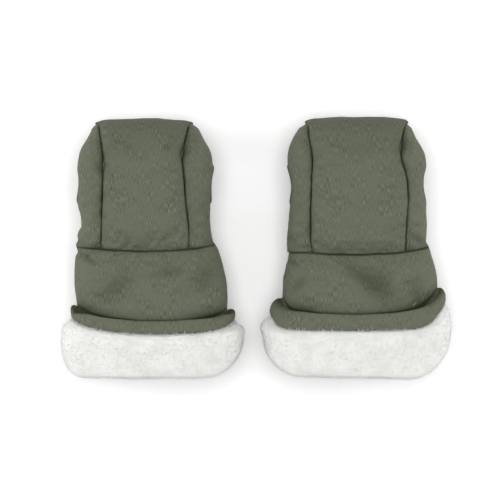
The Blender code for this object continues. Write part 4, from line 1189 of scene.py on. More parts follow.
def cuff_hem(mitt, material):
    """The rolled hem: a flattened ring round the sleeve that rises at the sides, where it rolls
    in and its lower edge stands out; painted shade darkens its upper edge, ends and corners."""
    columns = columns_round(HEM_GIRTH, sizes().grid_step)
    turn = turns(40)
    middle = mitt.hem_distance + mitt.hem_width / 2
    off = HEM_THICKNESS / 2 + 2 * LAYER_GAP
    power = np.where(np.cos(turn) > 0, 0.8, 0.30)
    fat = np.abs(np.sin(turn)) ** power * np.sign(np.sin(turn))
    distance = middle - mitt.hem_width / 2 * np.cos(turn)
    ones = np.ones_like(turn)
    profile = np.stack([distance, off + HEM_THICKNESS / 2 * fat, ones, ones], axis=-1)
    rings, normals = cuff_surface(mitt, profile, columns)
    outside = np.clip(np.sin(turn), 0, 1)[:, None]
    hand = np.cos(turns(columns))[None, :]
    roll = mitt.by_side(hand, "roll") * (1 - fat[:, None]) / 2
    tilt = mitt.by_side(hand, "tilt") * np.cos(turn)[:, None]
    rings = rings - normals * ((roll + tilt) * np.abs(hand) ** 5)[..., None]
    swell = unevenness(mitt, rings, (0.0008, 0.030, 6), (0.0004, 0.011, 7))
    rings = rings + normals * (swell * outside)[..., None]
    wander = rings * np.array([1.0, 0.0, 1.0])
    rings[..., 1] += unevenness(mitt, wander, (0.0007, 0.026, 8), (0.0003, 0.009, 0))
    rings[..., 2] = np.maximum(rings[..., 2], 0.0)
    made = ring_piece(f"{mitt.name}_cuff_rolled_hem", mitt.to_world(rings), material)
    # Painted shade on the hem's upper edge, on its rolled-in ends and in its corners
    inward = np.exp(-(((turn - 0.45) / 0.55) ** 2))[:, None] * np.clip(np.abs(hand), 0, 1) ** 7
    tuck = mitt.by_side(hand, "tuck")
    past = rings[..., 1] - mitt.hem_distance + (mitt.by_side(hand, "rise") - tuck)
    end = smooth_step((np.abs(hand) - 0.62) / 0.16)
    end = end * (1 - 0.6 * smooth_step((np.abs(hand) - 0.945) / 0.03))
    painted_hem_shade = (1 - smooth_step((past + 0.0012) / 0.0024)) * end * (tuck > 0)
    painted_edge_shade = 0.45 * np.exp(-((turn / 0.35) ** 2))[:, None]
    mark_painted_shade(made, painted_edge_shade + 0.75 * inward + 0.85 * painted_hem_shade)
    return fabric_piece(made, "muffs", "softshell", f"{mitt.name}_cuff_hem")


def fleece_profile(mitt):
    """The cuff's closed outline along the sleeve: from inside the mouth, round it and back up."""
    mouth = MITT_LENGTH - CENTRE_CROWN
    top = mitt.hem_distance + mitt.hem_width + 2 * LAYER_GAP
    end = SLEEVE_LENGTH + 2 * LAYER_GAP
    inside = LINING_INSET + LINING_THICKNESS
    lip = mouth - end
    full = CUFF_THICKNESS
    length = end - top
    return np.array(
        [
            (end, -inside * 0.1, 0.0, 0.0),
            (end, -inside * 0.5, 0.0, 0.0),
            (end, -inside * 0.9, 0.0, 0.0),
            (end + lip * 0.3, -inside * 1.05, 0.0, 0.0),
            (end + lip * 0.7, -inside * 0.95, 0.0, 0.0),
            (end + lip * 0.93, -inside * 0.55, 0.0, 0.0),
            (mouth - 0.0010, 0.0, 0.0, 0.0),
            (end + lip * 0.80, full * 0.58, 0.0, 0.0),
            (end + lip * 0.45, full * 0.88, 0.0, 0.0),
            (end - length * 0.15, full * 0.98, 0.05, 0.0),
            (end - length * 0.50, full, 0.25, 0.3),
            (end - length * 0.74, full * 0.97, 0.66, 0.6),
            (top + length * 0.11, full * 0.84, 0.94, 0.8),
            (top + length * 0.03, full * 0.68, 1.0, 0.8),
            (top - 0.0008, full * 0.53, 1.0, 0.8),
            (top - 0.0004, full * 0.32, 1.0, 0.7),
            (top + length * 0.10, full * 0.10, 1.0, 0.3),
            (top + length * 0.50, full * 0.10, 0.5, 0.0),
            (end - 0.0010, full * 0.10, 0.0, 0.0),
        ]
    )


def outward(grid, top):
    """Outward directions of a closed grid, by its neighbours, with those at the top facing up."""
    around = np.roll(grid, -1, axis=1) - np.roll(grid, 1, axis=1)
    down = np.roll(grid, -1, axis=0) - np.roll(grid, 1, axis=0)
    out = np.cross(around, down)
    out /= np.maximum(np.linalg.norm(out, axis=-1, keepdims=True), 1e-12)
    return out * np.sign(out[top][2])


def fleece_cuff(mitt, material):
    """The turned-up fleece: the closed outline carried round the sleeve, fuller beside the hem's
    ends, with lumps of fleece and a coat of curls on what shows."""
    step = sizes().grid_step
    columns = columns_round(CUFF_GIRTH, step)
    profile = closed_curve(fleece_profile(mitt), int(CUFF_OUTLINE / step))
    rings, normals = cuff_surface(mitt, profile, columns)
    outside = smooth_step((profile[:, 1:2] / CUFF_THICKNESS - 0.1) / 0.4)
    mouth = smooth_step((profile[:, 0:1] - SLEEVE_LENGTH - 2 * LAYER_GAP) / 0.004)
    shown = np.maximum(outside, mouth)
    hand = np.cos(turns(columns))[None, :]
    hem_end = mitt.hem_distance + mitt.hem_width
    past = profile[:, :1] - hem_end
    fuller = smooth_step((past + 0.0006) / 0.0068) * np.exp(-(((past - 0.0060) / 0.0095) ** 2))
    fuller = fuller * outside
    rings = rings + normals * (0.0056 * fuller * np.abs(hand) ** 6)[..., None]
    top = (np.argmax(profile[:, 1]), columns // 4)
    waves = ((0.0010, 0.036, 12), (0.0003, 0.012, 13), (0.0003, 0.0052, 14))
    lumps = unevenness(mitt, rings, *waves)
    rings = rings + outward(rings, top) * ((lumps - 0.0010) * shown)[..., None]
    rings[..., 2] = np.maximum(rings[..., 2], 0.0)
    world = mitt.to_world(rings)
    made = ring_piece(f"{mitt.name}_sherpa_cuff", world, material)
    fabric_piece(made, "muffs", "sherpa", f"{mitt.name}_fleece_cuff")
    at_hem = (np.abs(profile[:, 0] - hem_end) < 0.0022) & (profile[:, 1] > CUFF_THICKNESS * 0.5)
    edge_rows = np.flatnonzero(at_hem)[[0, -1]]
    pile = cuff_pile(mitt, world, outward(world, top), shown[:, 0], edge_rows, material)
    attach(pile, "muffs")
    return made


def cuff_pile(mitt, grid, out, shown, edge_rows, material):
    """Curls of pile: roots spread by area over the shown rows, each a thin three-sided spike
    that leaves along the surface's normal and bends round a small circle."""
    size = sizes()
    chance = np.random.default_rng(mitt.seed)
    below, beside = (np.roll(grid, -1, axis=axis) - grid for axis in (0, 1))
    cells = np.linalg.norm(np.cross(below, beside), axis=-1)
    cells = cells * (shown[:, None] > 0.5) * (grid[..., 2] > 0.002)
    first_edge, last_edge = edge_rows
    cells[first_edge : last_edge + 1] *= 4.0
    weight = (cells / cells.sum()).reshape(-1)
    count = size.pile_count
    chosen = chance.choice(len(weight), size=count, p=weight)
    rows, columns = grid.shape[:2]
    row, column = chosen // columns, chosen % columns
    mix = chance.random((count, 2, 1))
    root = grid[row, column]
    root = root + (grid[(row + 1) % rows, column] - root) * mix[:, 0]
    root = root + (grid[row, (column + 1) % columns] - grid[row, column]) * mix[:, 1]
    normal = out[row, column]
    aside = np.cross(normal, chance.normal(size=(count, 3)))
    aside /= np.linalg.norm(aside, axis=-1, keepdims=True)
    rim = (row >= first_edge) & (row <= last_edge)
    aside[rim] = aside[rim] * 0.5 + np.array([0.0, 1.0, 0.0])
    aside /= np.linalg.norm(aside, axis=-1, keepdims=True)
    other = np.cross(normal, aside)
    loose = chance.random((count, 1)) < 0.22
    length = size.pile_length * chance.uniform(0.4, 1.0, (count, 1)) ** 1.2
    length = length * np.where(loose, 1.7, 1.0) * np.where(rim, 1.2, 1.0)[:, None]
    bend = chance.uniform(1.0, 2.6, (count, 1)) * np.where(loose, 0.5, 1.0)
    lean = chance.uniform(-0.2, 0.8, (count, 1))
    spine = []
    for level in (0.0, 0.55, 1.0):
        forward = length * np.sin(bend * level) / bend
        sideways = length * (1 - np.cos(bend * level)) / bend + lean * length * level * 0.4
        spine.append(root + normal * (forward - size.pile_radius) + aside * sideways)
    around = turns(3)[None, :, None]
    circle = aside[:, None] * np.cos(around) + other[:, None] * np.sin(around)
    radius = (size.pile_radius * np.where(rim, 2.0, 1.0))[:, None, None]
    lower = spine[0][:, None] + circle * radius
    upper = spine[1][:, None] + circle * radius * 0.8
    points = np.concatenate([lower, upper, spine[2][:, None]], axis=1)
    points[..., 2] = np.maximum(points[..., 2], 0.0)
    index = np.arange(count * 7).reshape(count, 7)
    first, second, tip = index[:, :3], index[:, 3:6], index[:, 6:]
    first_next, second_next = (np.roll(ring, -1, axis=1) for ring in (first, second))
    quads = np.stack([first, first_next, second_next, second], axis=-1)
    spikes = np.stack([second, second_next, np.repeat(tip, 3, axis=1)], axis=-1)
    triangles = np.concatenate([first[:, ::-1], spikes.reshape(-1, 3)])
    name = f"{mitt.name}_sherpa_pile"
    mesh, _ = array_mesh(name, points, [quads.reshape(-1, 4), triangles])
    mesh.update(calc_edges=True)
    return add_object(name, mesh, material)


def bag_tube(mitt, depth, rough):
    """Rings of one face of the bag, from its tip to the mouth, with nubs if it is rough."""
    round_tip = tip_curve(np.linspace(np.pi / 6, np.pi / 2, 16)) + TIP_INSET_SHARE * depth
    rest = np.linspace(round_tip[-1], SLEEVE_LENGTH, 90)[1:]
    s = np.concatenate([round_tip, rest])[:, None]
    angle = turns(columns_round(BAG_GIRTH, BAG_STEP))[None, :]
    sleeve = smooth_step((s - WAIST_LENGTH) / (mitt.hem_distance - WAIST_LENGTH))
    extra = (BAG_LOW - HAND_LIFT - SHELL_THICKNESS) * (1 - sleeve)
    points = mitt.point(s, angle, depth, extra)
    middle = np.stack([np.zeros_like(s[:, 0]), s[:, 0], points[..., 2].mean(axis=1)], axis=-1)
    inward = middle[:, None, :] - points
    inward /= np.linalg.norm(inward, axis=-1, keepdims=True)
    bump = 0.0006 + 0.0006 * noise(points, 0.0042, mitt.seed + 15)
    bump = bump + 0.0010 * noise(points, 0.018, mitt.seed)
    return points + inward * (rough * bump)[..., None]


def bag_piece(mitt, label, inset, thickness, cutter, material, nubs):
    """One layer of the bag: nested tubes of sections, closed at the tip, joined at the mouth."""
    rings = [bag_tube(mitt, inset, 0.0), bag_tube(mitt, inset + thickness, nubs)[::-1]]
    world = mitt.to_world(np.concatenate(rings))
    rows, columns = world.shape[:2]
    index = np.arange(rows * columns).reshape(rows, columns)
    half = columns // 2
    caps = []
    triangles = []
    for row in (index[0], index[-1]):
        upper = row[: half + 1]
        lower = np.concatenate([row[:1], row[: half - 1 : -1]])
        caps.append(np.stack([upper[1:-2], upper[2:-1], lower[2:-1], lower[1:-2]], axis=-1))
        triangles.append([upper[0], upper[1], lower[1]])
        triangles.append([upper[-2], upper[-1], lower[-2]])
    faces = [np.concatenate([tube_faces(index), *caps]), np.array(triangles)]
    made = add_mesh(f"{mitt.name}_{label}", world, faces, ring_map(world), material)
    cut_way(made, cutter)
    return made


def way_binding(mitt, side, material):
    """The tape round one way: a rounded strip carried up, over the handlebar and down."""
    radius = BAR_CUT_RADIUS - SEAM_GAP - BINDING_THICKNESS / 2
    turn = np.linspace(0, np.pi, 60)
    leg = np.linspace(BAG_LOW, BAR_HEIGHT, 14)[:-1]
    out_s = np.concatenate([np.full(len(leg), -1.0), -np.cos(turn), np.full(len(leg), 1.0)])
    out_z = np.concatenate([np.zeros(len(leg)), np.sin(turn), np.zeros(len(leg))])
    s = BAR_WAY_DISTANCE + radius * out_s
    z = np.concatenate([leg, BAR_HEIGHT + radius * np.sin(turn), leg[::-1]])
    top, low = mitt.top_and_low(s)
    middle = (top + low) / 2
    power = np.where(z >= middle, TOP_POWER, LOW_POWER)
    share = np.clip(np.abs((z - middle) / ((top - low) / 2)), 0, 1)
    skin = mitt.half_width(s, side) * (1 - share**power) ** (1 / power)
    over = np.clip((z - BAR_HEIGHT) / BAR_WAY_RADIUS, 0, 1)
    bulge = BINDING_BULGE if side != mitt.outside else 0
    outside = skin + SIDE_CROWN + BINDING_STAND_OUT + bulge * over + way_swell(mitt, side, s, z)
    depth = LINING_INSET + LINING_THICKNESS + SIDE_CROWN + BINDING_STAND_OUT
    around = turns(28)
    fat = BINDING_THICKNESS / 2 * np.sign(np.sin(around)) * np.abs(np.sin(around)) ** 0.35
    wide = depth / 2 * np.sign(np.cos(around)) * np.abs(np.cos(around)) ** 0.7
    x = side * ((outside - depth / 2)[:, None] + wide[None, :])
    y = s[:, None] + out_s[:, None] * fat[None, :]
    z = z[:, None] + out_z[:, None] * fat[None, :]
    world = mitt.to_world(np.stack([x, y, z], axis=-1))
    index = np.arange(x.size).reshape(x.shape)
    faces = [tube_faces(index), index[:1, ::-1], index[-1:]]
    place = mitt.place(side)
    made = add_mesh(f"{mitt.name}_{place}_way_tape", world, faces, ring_map(world), material)
    return fabric_piece(made, "muffs", "binding", f"{mitt.name}_{place}_way_binding")


def flap_grid(mitt, start, end, low, thickness, margin, edge):
    """Two grids of a flat sheet with rounded free corners and rounded edges."""
    step = sizes().grid_step
    s = start + (end - start) * spaced(end - start, step)[:, None]
    corner = 2 * STUD_RADIUS
    into_corner = np.clip((s - (end - corner)) / corner, 0, 1)
    trim = corner * (1 - np.sqrt(1 - into_corner**2)) * (1 - SEAM_GAP / corner)
    across = spaced(mitt.panel_width, step)[None, :] * 2 - 1
    half = mitt.seam_distance(s, across) - margin - trim
    x = half * across
    distance = np.minimum(half * (1 - np.abs(across)), np.minimum(s - start, end - s))
    rounding = rounded(distance, edge)
    flat = np.broadcast_to(s, x.shape)
    outer = np.stack([x, flat, low + rounding], axis=-1)
    inner = np.stack([x, flat, low + thickness - rounding], axis=-1)
    return outer, inner


def tip_flap(mitt, softshell, sherpa):
    """The flap under the handlebar and the fleece on its inner face."""
    start = HINGE_DISTANCE + SEAM_GAP / 2
    end = FLAP_END
    outer, inner = flap_grid(mitt, start, end, FLAP_HEIGHT, SHELL_THICKNESS, SEAM_GAP, 0.0012)
    flap = sheet_piece(mitt, "flap_shell", outer, inner, softshell)
    mark_painted_shade(flap, np.zeros(1))
    fabric_piece(flap, f"{mitt.name}_flap", "softshell", f"{mitt.name}_tip_flap")
    start = HINGE_DISTANCE + FACING_THICKNESS
    end = PALM_DISTANCE - FACING_THICKNESS
    low = FLAP_HEIGHT + SHELL_THICKNESS + LAYER_GAP
    outer, inner = flap_grid(mitt, start, end, low, FACING_THICKNESS, FACING_THICKNESS, 0.0018)
    inner[..., 2] += 0.0005 * noise(inner, 0.0040, mitt.seed + 16) - 0.0003
    facing = sheet_piece(mitt, "flap_fleece", outer, inner, sherpa)
    fabric_piece(facing, f"{mitt.name}_flap", "sherpa", f"{mitt.name}_flap_facing")


def turned(name, profile, place, material):
    """A solid turned about the vertical from (radius, height) points, between two poles."""
    radii, heights = np.array(profile).T
    sides = 48
    angle = turns(sides)
    radius = radii[1:-1, None]
    level = heights[1:-1, None] + np.zeros_like(angle)
    rings = np.stack([radius * np.cos(angle), radius * np.sin(angle), level], axis=-1)
    poles = np.array([[0.0, 0.0, heights[0]], [0.0, 0.0, heights[-1]]])
    points = np.concatenate([rings.reshape(-1, 3), poles]) + np.array(place)
    count = level.size
    index = np.arange(count).reshape(-1, sides)
    low = np.stack([np.full(sides, count), np.roll(index[0], -1), index[0]], axis=-1)
    high = np.stack([np.full(sides, count + 1), index[-1], np.roll(index[-1], -1)], axis=-1)
    faces = [tube_faces(index), np.concatenate([low, high])]
    made = add_mesh(name, points, faces, None, material)
    bevel = made.modifiers.new("edge", "BEVEL")
    bevel.width = STUD_CAP_THICKNESS / 5
    bevel.segments = 2
    bevel.limit_method = "ANGLE"
    return made


def press_studs(mitt, material):
    """Both halves of each press stud: cap and socket on the flap, post and backing on the palm."""
    under = FLAP_HEIGHT - STUD_CLEARANCE
    socket = FLAP_HEIGHT + SHELL_THICKNESS + STUD_CLEARANCE
    well = STUD_POST_RADIUS + STUD_CLEARANCE
    wall = STUD_RADIUS - STUD_CAP_THICKNESS
    floor = socket + STUD_SOCKET_HEIGHT / 4
    cap = [
        (0.0, under - STUD_CAP_THICKNESS),
        (STUD_RADIUS * 0.4, under - STUD_CAP_THICKNESS * 0.98),
        (STUD_RADIUS * 0.7, under - STUD_CAP_THICKNESS * 0.9),
        (STUD_RADIUS * 0.9, under - STUD_CAP_THICKNESS * 0.65),
        (STUD_RADIUS, under - STUD_CAP_THICKNESS * 0.3),
        (STUD_RADIUS, under),
        (STUD_SHANK_RADIUS, under),
        (STUD_SHANK_RADIUS, socket),
        (wall, socket),
        (wall, SOCKET_TOP),
        (well, SOCKET_TOP),
        (well, floor),
        (0.0, floor),
    ]
    tip = floor + STUD_CLEARANCE
    base = SOCKET_TOP + STUD_CLEARANCE
    back = PALM_TOP + STUD_CLEARANCE
    post = [
        (0.0, tip),
        (STUD_POST_RADIUS * 0.8, tip),
        (STUD_POST_RADIUS, tip + STUD_CLEARANCE),
        (STUD_POST_RADIUS, base),
        (wall, base),
        (wall, base + STUD_DISC_THICKNESS),
        (STUD_SHANK_RADIUS, base + STUD_DISC_THICKNESS),
        (STUD_SHANK_RADIUS, back),
        (wall, back),
        (wall, back + STUD_DISC_THICKNESS),
        (0.0, back + STUD_DISC_THICKNESS),
    ]
    for number, x in enumerate((-STUD_SPACING / 2, STUD_SPACING / 2), 1):
        place = mitt.to_world(np.array([x, STUD_DISTANCE, 0.0]))
        made = turned(f"{mitt.name}_snap_cap_{number}", cap, place, material)
        fabric_piece(made, f"{mitt.name}_flap", "stud_metal", f"{mitt.name}_stud_cap_{number}")
        made = turned(f"{mitt.name}_snap_post_{number}", post, place, material)
        fabric_piece(made, "muffs", "stud_metal", f"{mitt.name}_stud_post_{number}")


def set_values(node, values):
    """Set a node's inputs by name or number, and its other settings by name."""
    for name, value in values.items():
        if isinstance(name, int) or name in node.inputs:
            node.inputs[name].default_value = value
        else:
            setattr(node, name, value)


def add_node(owner, kind, settings=None, links=None):
    """A node of a material or a world, with links from (node, output) to its inputs."""
    node = owner.node_tree.nodes.new(kind)
    set_values(node, settings or {})
    for name, source in (links or {}).items():
        link(owner, source, node, name)
    return node


def link(owner, source, target, socket):
    """Link a (node, output) pair to a node's input."""
    node, output = source
    owner.node_tree.links.new(node.outputs[output], target.inputs[socket])


def new_material(name, values):
    """A material and its main shader, with the shader's plain values set."""
    made = bpy.data.materials.new(name)
    made.use_nodes = True
    shader = made.node_tree.nodes["Principled BSDF"]
    set_values(shader, values)
    return made, shader


def cloth_map(made, scale=None):
    """Where a point lies on the cloth in metres, or in units of a (across, along) scale."""
    cloth = (add_node(made, "ShaderNodeUVMap", {"uv_map": "fabric"}), "UV")
    if scale is None:
        return cloth
    across, down = scale
    settings = {"Scale": (1 / across, 1 / down, 1.0)}
    return (add_node(made, "ShaderNodeMapping", settings, {"Vector": cloth}), "Vector")


def noise_texture(made, vector, **settings):
    """Noise read at a vector; settings are inputs by their names in small letters."""
    settings = {name.capitalize(): value for name, value in settings.items()}
    return (add_node(made, "ShaderNodeTexNoise", settings, {"Vector": vector}), "Fac")


def colour_ramp(made, source, stops):
    """Colours over a value from (position, colour) stops: the two ends first, then the rest."""
    ramp = add_node(made, "ShaderNodeValToRGB", {}, {"Fac": source})
    elements = ramp.color_ramp.elements
    for number, (position, colour) in enumerate(stops):
        stop = elements[number] if number < 2 else elements.new(position)
        stop.position = position
        stop.color = colour
    return (ramp, "Color")


def mix_colours(made, share, first, second):
    """One colour mixed into another by a share; each is a colour or a (node, output) pair."""
    node = add_node(made, "ShaderNodeMix", {"data_type": "RGBA"}, {"Factor": share})
    for socket, colour in ((6, first), (7, second)):
        if isinstance(colour[0], bpy.types.Node):
            link(made, colour, node, socket)
        else:
            node.inputs[socket].default_value = colour
    return (node, 2)


def raise_bumps(made, shader, height, strength, distance):
    """Bumps on a shader from a height."""
    settings = {"Strength": strength, "Distance": distance}
    bump = add_node(made, "ShaderNodeBump", settings, {"Height": height})
    link(made, (bump, "Normal"), shader, "Normal")


def is_ray(owner, *kinds):
    """1 for the named kinds of ray, 0 for all others."""
    path = add_node(owner, "ShaderNodeLightPath")
    found = (path, kinds[0])
    for kind in kinds[1:]:
        links = {0: found, 1: (path, kind)}
        found = (add_node(owner, "ShaderNodeMath", {"operation": "MAXIMUM"}, links), 0)
    return found


def melange_softshell():
    """Brushed polyester softshell, piece-dyed from two yarns: matt, with short light and dark
    flecks along the cloth. Flecks are drawn about twice as coarse as real ones, to show. Shade is
    painted on where the painted shade map says: in seams, creases, pockets and at the tip."""
    values = {"Roughness": 0.86, "Specular IOR Level": 0.1}
    values |= {"Sheen Weight": 0.04, "Sheen Roughness": 0.5}
    made, shader = new_material("melange_softshell", values)
    size, colour = sizes(), colours()
    flecks = cloth_map(made, (size.fleck_width, size.fleck_length))
    yarn = noise_texture(made, flecks, scale=1.0, detail=2.0, roughness=0.6)
    stops = (0.37, colour.softshell_dark), (0.67, colour.softshell_light), (0.53, colour.softshell)
    melange = colour_ramp(made, yarn, stops)
    patches = noise_texture(made, cloth_map(made), scale=1 / 0.022, detail=1.0)
    settings = {"From Min": 0.40, "From Max": 0.62, "To Min": 0.25}
    share = add_node(made, "ShaderNodeMapRange", settings, {"Value": patches})
    brushed = mix_colours(made, (share, "Result"), colour.softshell, melange)
    # Painted shade: the painted shade map mixes the shell towards its dark painted-shade colour
    pinch = (add_node(made, "ShaderNodeUVMap", {"uv_map": "pinch"}), "UV")
    depth = (add_node(made, "ShaderNodeSeparateXYZ", {}, {"Vector": pinch}), "X")
    tone = mix_colours(made, depth, brushed, colour.softshell_pinched)
    link(made, tone, shader, "Base Color")
    grain = noise_texture(made, cloth_map(made, (0.0006, 0.0011)), scale=1.0, detail=1.0)
    raise_bumps(made, shader, grain, 0.35, 0.0003)
    return made


def sherpa_fleece():
    """Polyester sherpa: off-white curly pile that scatters light and has no gloss."""
    values = {"Roughness": 1.0, "Specular IOR Level": 0.1}
    values |= {"Subsurface Weight": 0.4, "Subsurface Radius": (1.0, 1.0, 1.0)}
    values |= {"Subsurface Scale": 0.003, "Sheen Weight": 0.9, "Sheen Roughness": 0.35}
    made, shader = new_material("sherpa_fleece", values)
    place = (add_node(made, "ShaderNodeTexCoord"), "Object")
    tone = noise_texture(made, place, scale=1 / 0.016, detail=3.0)
    stops = (0.3, colours().sherpa_shade), (0.65, colours().sherpa)
    link(made, colour_ramp(made, tone, stops), shader, "Base Color")
    curls = noise_texture(made, place, scale=1 / 0.0020, detail=2.0)
    raise_bumps(made, shader, curls, 0.28, 0.0006)
    return made


def fibre_wadding():
    """Polyester wadding: a loose off-white felt of fine fibres."""
    values = {"Base Color": colours().wadding, "Roughness": 1.0}
    made, shader = new_material("fibre_wadding", values)
    place = (add_node(made, "ShaderNodeTexCoord"), "Object")
    fibres = noise_texture(made, place, scale=1 / 0.002, detail=4.0)
    raise_bumps(made, shader, fibres, 0.6, 0.0005)
    return made


def woven_tape():
    """Polyester grosgrain tape: dark olive, ribbed across every 0.8 mm, slightly shiny."""
    values = {"Base Color": colours().binding, "Roughness": 0.7}
    made, shader = new_material("woven_tape", values)
    settings = {"wave_type": "BANDS", "bands_direction": "Y"}
    settings |= {"Scale": 1 / 0.0008 / 6.283, "Distortion": 0.4}
    ribs = add_node(made, "ShaderNodeTexWave", settings, {"Vector": cloth_map(made)})
    raise_bumps(made, shader, (ribs, "Fac"), 0.6, 0.0003)
    return made


def burnished_brass():
    """Pressed brass, blackened and burnished: dark, with a soft metallic gleam."""
    made, shader = new_material("burnished_brass", {"Base Color": colours().stud, "Metallic": 1.0})
    place = (add_node(made, "ShaderNodeTexCoord"), "Object")
    wear = noise_texture(made, place, scale=1 / 0.003, detail=3.0)
    rough = add_node(made, "ShaderNodeMapRange", {"To Min": 0.3, "To Max": 0.5}, {"Value": wear})
    link(made, (rough, "Result"), shader, "Roughness")
    return made


def studio_white():
    """Painted white floor: it shows the object's shadow, and to the camera its own white, which
    grows to full white away from the object."""
    values = {"Base Color": colours().floor, "Roughness": 0.9}
    values |= {"Specular IOR Level": 0.0, "Emission Color": WHITE}
    made, shader = new_material("studio_white", values)
    place = (add_node(made, "ShaderNodeTexCoord"), "Object")
    away = add_node(made, "ShaderNodeVectorMath", {"operation": "LENGTH"}, {"Vector": place})
    settings = {"From Min": FLOOR_GLOW_START, "From Max": FLOOR_GLOW_END}
    settings |= {"To Min": FLOOR_LEAST_GLOW, "To Max": 1.0}
    white = add_node(made, "ShaderNodeMapRange", settings, {"Value": (away, "Value")})
    links = {0: is_ray(made, "Is Camera Ray", "Is Glossy Ray"), 1: (white, "Result")}
    glow = add_node(made, "ShaderNodeMath", {"operation": "MULTIPLY"}, links)
    link(made, (glow, 0), shader, "Emission Strength")
    return made


def material(name):
    """The material of that name, made when it is first asked for."""
    makers = {
        "melange_softshell": melange_softshell,
        "sherpa_fleece": sherpa_fleece,
        "fibre_wadding": fibre_wadding,
        "woven_tape": woven_tape,
        "burnished_brass": burnished_brass,
        "studio_white": studio_white,
    }
    return bpy.data.materials.get(name) or makers[name]()


class MUFF_OT_shell(bpy.types.Operator):
    """Make the softshell panels of both mitts"""

    bl_idname = "muff.shell"
    bl_label = "Softshell panels"

    def execute(self, context):
        for mitt in (LEFT, RIGHT):
            cutter = bar_cutter(mitt)
            cloth = material("melange_softshell")
            centre_panel(mitt, cloth)
            palm_panel(mitt, cloth)
            wrist_panel(mitt, cloth)
            for side in (-1, 1):
                side_panel(mitt, side, cutter, cloth)
            bpy.data.objects.remove(cutter)
        return {"FINISHED"}


class MUFF_OT_cuffs(bpy.types.Operator):
    """Make the rolled hems and the turned-up fleece cuffs"""

    bl_idname = "muff.cuffs"
    bl_label = "Cuffs"

    def execute(self, context):
        for mitt in (LEFT, RIGHT):
            cuff_hem(mitt, material("melange_softshell"))
            fleece_cuff(mitt, material("sherpa_fleece"))
        return {"FINISHED"}


class MUFF_OT_linings(bpy.types.Operator):
    """Make the wadding and the fleece bag inside each mitt"""

    bl_idname = "muff.linings"
    bl_label = "Wadding and linings"

    def execute(self, context):
        for mitt in (LEFT, RIGHT):
            cutter = bar_cutter(mitt)
            felt, fleece = material("fibre_wadding"), material("sherpa_fleece")
            layer = (WADDING_INSET, WADDING_THICKNESS)
            made = bag_piece(mitt, "wadding_layer", *layer, cutter, felt, nubs=0.0)
            fabric_piece(made, "muffs", "wadding", f"{mitt.name}_hand_wadding")
            layer = (LINING_INSET, LINING_THICKNESS)
            made = bag_piece(mitt, "fleece_bag", *layer, cutter, fleece, nubs=1.0)
            fabric_piece(made, "muffs", "sherpa", f"{mitt.name}_hand_lining")
            bpy.data.objects.remove(cutter)
        return {"FINISHED"}


class MUFF_OT_bindings(bpy.types.Operator):
    """Make the tapes round the handlebar ways"""

    bl_idname = "muff.bindings"
    bl_label = "Way bindings"

    def execute(self, context):
        for mitt in (LEFT, RIGHT):
            for side in (-1, 1):
                way_binding(mitt, side, material("woven_tape"))
        return {"FINISHED"}


class MUFF_OT_flaps(bpy.types.Operator):
    """Make the flaps, their fleece and the press studs"""

    bl_idname = "muff.flaps"
    bl_label = "Flaps and press studs"

    def execute(self, context):
        for mitt in (LEFT, RIGHT):
            tip_flap(mitt, material("melange_softshell"), material("sherpa_fleece"))
            press_studs(mitt, material("burnished_brass"))
        return {"FINISHED"}


class MUFF_OT_stage(bpy.types.Operator):
    """Make the floor, the lamps, the world and the camera"""

    bl_idname = "muff.stage"
    bl_label = "Stage"

    def execute(self, context):
        scene = context.scene
        scene.view_settings.view_transform = "Standard"
        corners = ((-1, -1, 0), (1, -1, 0), (1, 1, 0), (-1, 1, 0))
        mesh = bpy.data.meshes.new("floor")
        mesh.from_pydata((np.array(corners) * FLOOR_HALF).tolist(), [], [[0, 1, 2, 3]])
        mesh.materials.append(material("studio_white"))
        floor = bpy.data.objects.new("floor", mesh)
        scene.collection.objects.link(floor)
        for softbox in SOFTBOXES:
            lamp(*softbox)
        studio_world(scene)
        photo_camera(scene)
        return {"FINISHED"}


def lamp(name, place, width, power):
    """A square softbox aimed at the middle of the pair."""
    data = bpy.data.lights.new(name, "AREA")
    data.shape = "SQUARE"
    data.size = width
    data.energy = power
    made = bpy.data.objects.new(name, data)
    made.location = place
    aim = made.location * -1
    made.rotation_euler = aim.to_track_quat("-Z", "Y").to_euler()
    bpy.context.scene.collection.objects.link(made)


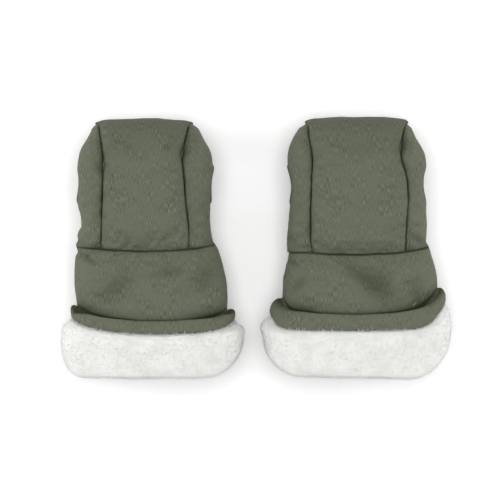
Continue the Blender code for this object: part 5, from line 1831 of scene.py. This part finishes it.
def studio_world(scene):
    """A white room: white to the camera and in gloss, a soft fill on everything else."""
    world = bpy.data.worlds.new("studio")
    world.use_nodes = True
    scene.world = world
    background = world.node_tree.nodes["Background"]
    seen = is_ray(world, "Is Camera Ray", "Is Glossy Ray", "Is Transmission Ray")
    settings = {"To Min": ROOM_FILL, "To Max": 1.0}
    strength = add_node(world, "ShaderNodeMapRange", settings, {"Value": seen})
    link(world, (strength, "Result"), background, "Strength")
    background.inputs["Color"].default_value = WHITE


def photo_camera(scene):
    """A long lens straight above, framed as the photograph is."""
    data = bpy.data.cameras.new("photo_camera")
    data.sensor_width = CAMERA_SENSOR_MM
    width = PHOTO_WIDTH_PX * METRES_PER_PIXEL
    data.lens = CAMERA_SENSOR_MM * CAMERA_DISTANCE / width
    camera = bpy.data.objects.new("photo_camera", data)
    middle = PHOTO_WIDTH_PX / 2
    x = (middle - PHOTO_PAIR_CENTRE_PX[0]) * METRES_PER_PIXEL
    y = (PHOTO_PAIR_CENTRE_PX[1] - middle) * METRES_PER_PIXEL
    camera.location = (x, y, OUTLINE_HEIGHT + CAMERA_DISTANCE)
    scene.collection.objects.link(camera)
    scene.camera = camera


class MUFF_PT_builder(bpy.types.Panel):
    """Sizes, colours and the steps that build the muffs"""

    bl_idname = "MUFF_PT_builder"
    bl_label = "Padded hand muffs"
    bl_space_type = "VIEW_3D"
    bl_region_type = "UI"
    bl_category = "Muffs"

    def draw(self, context):
        for group in (context.scene.muff_sizes, context.scene.muff_colours):
            for name in group.__annotations__:
                self.layout.prop(group, name)
        for operator in OPERATORS:
            self.layout.operator(operator.bl_idname)


OPERATORS = (
    MUFF_OT_shell,
    MUFF_OT_cuffs,
    MUFF_OT_linings,
    MUFF_OT_bindings,
    MUFF_OT_flaps,
    MUFF_OT_stage,
)
CLASSES = (MuffSizes, MuffColours, *OPERATORS, MUFF_PT_builder)


def register():
    for kind in CLASSES:
        bpy.utils.register_class(kind)
    bpy.types.Scene.muff_sizes = PointerProperty(type=MuffSizes)
    bpy.types.Scene.muff_colours = PointerProperty(type=MuffColours)


def unregister():
    del bpy.types.Scene.muff_colours
    del bpy.types.Scene.muff_sizes
    for kind in reversed(CLASSES):
        bpy.utils.unregister_class(kind)


def main():
    register()
    for operator in OPERATORS:
        group, name = operator.bl_idname.split(".")
        getattr(getattr(bpy.ops, group), name)()


if __name__ == "__main__":
    main()
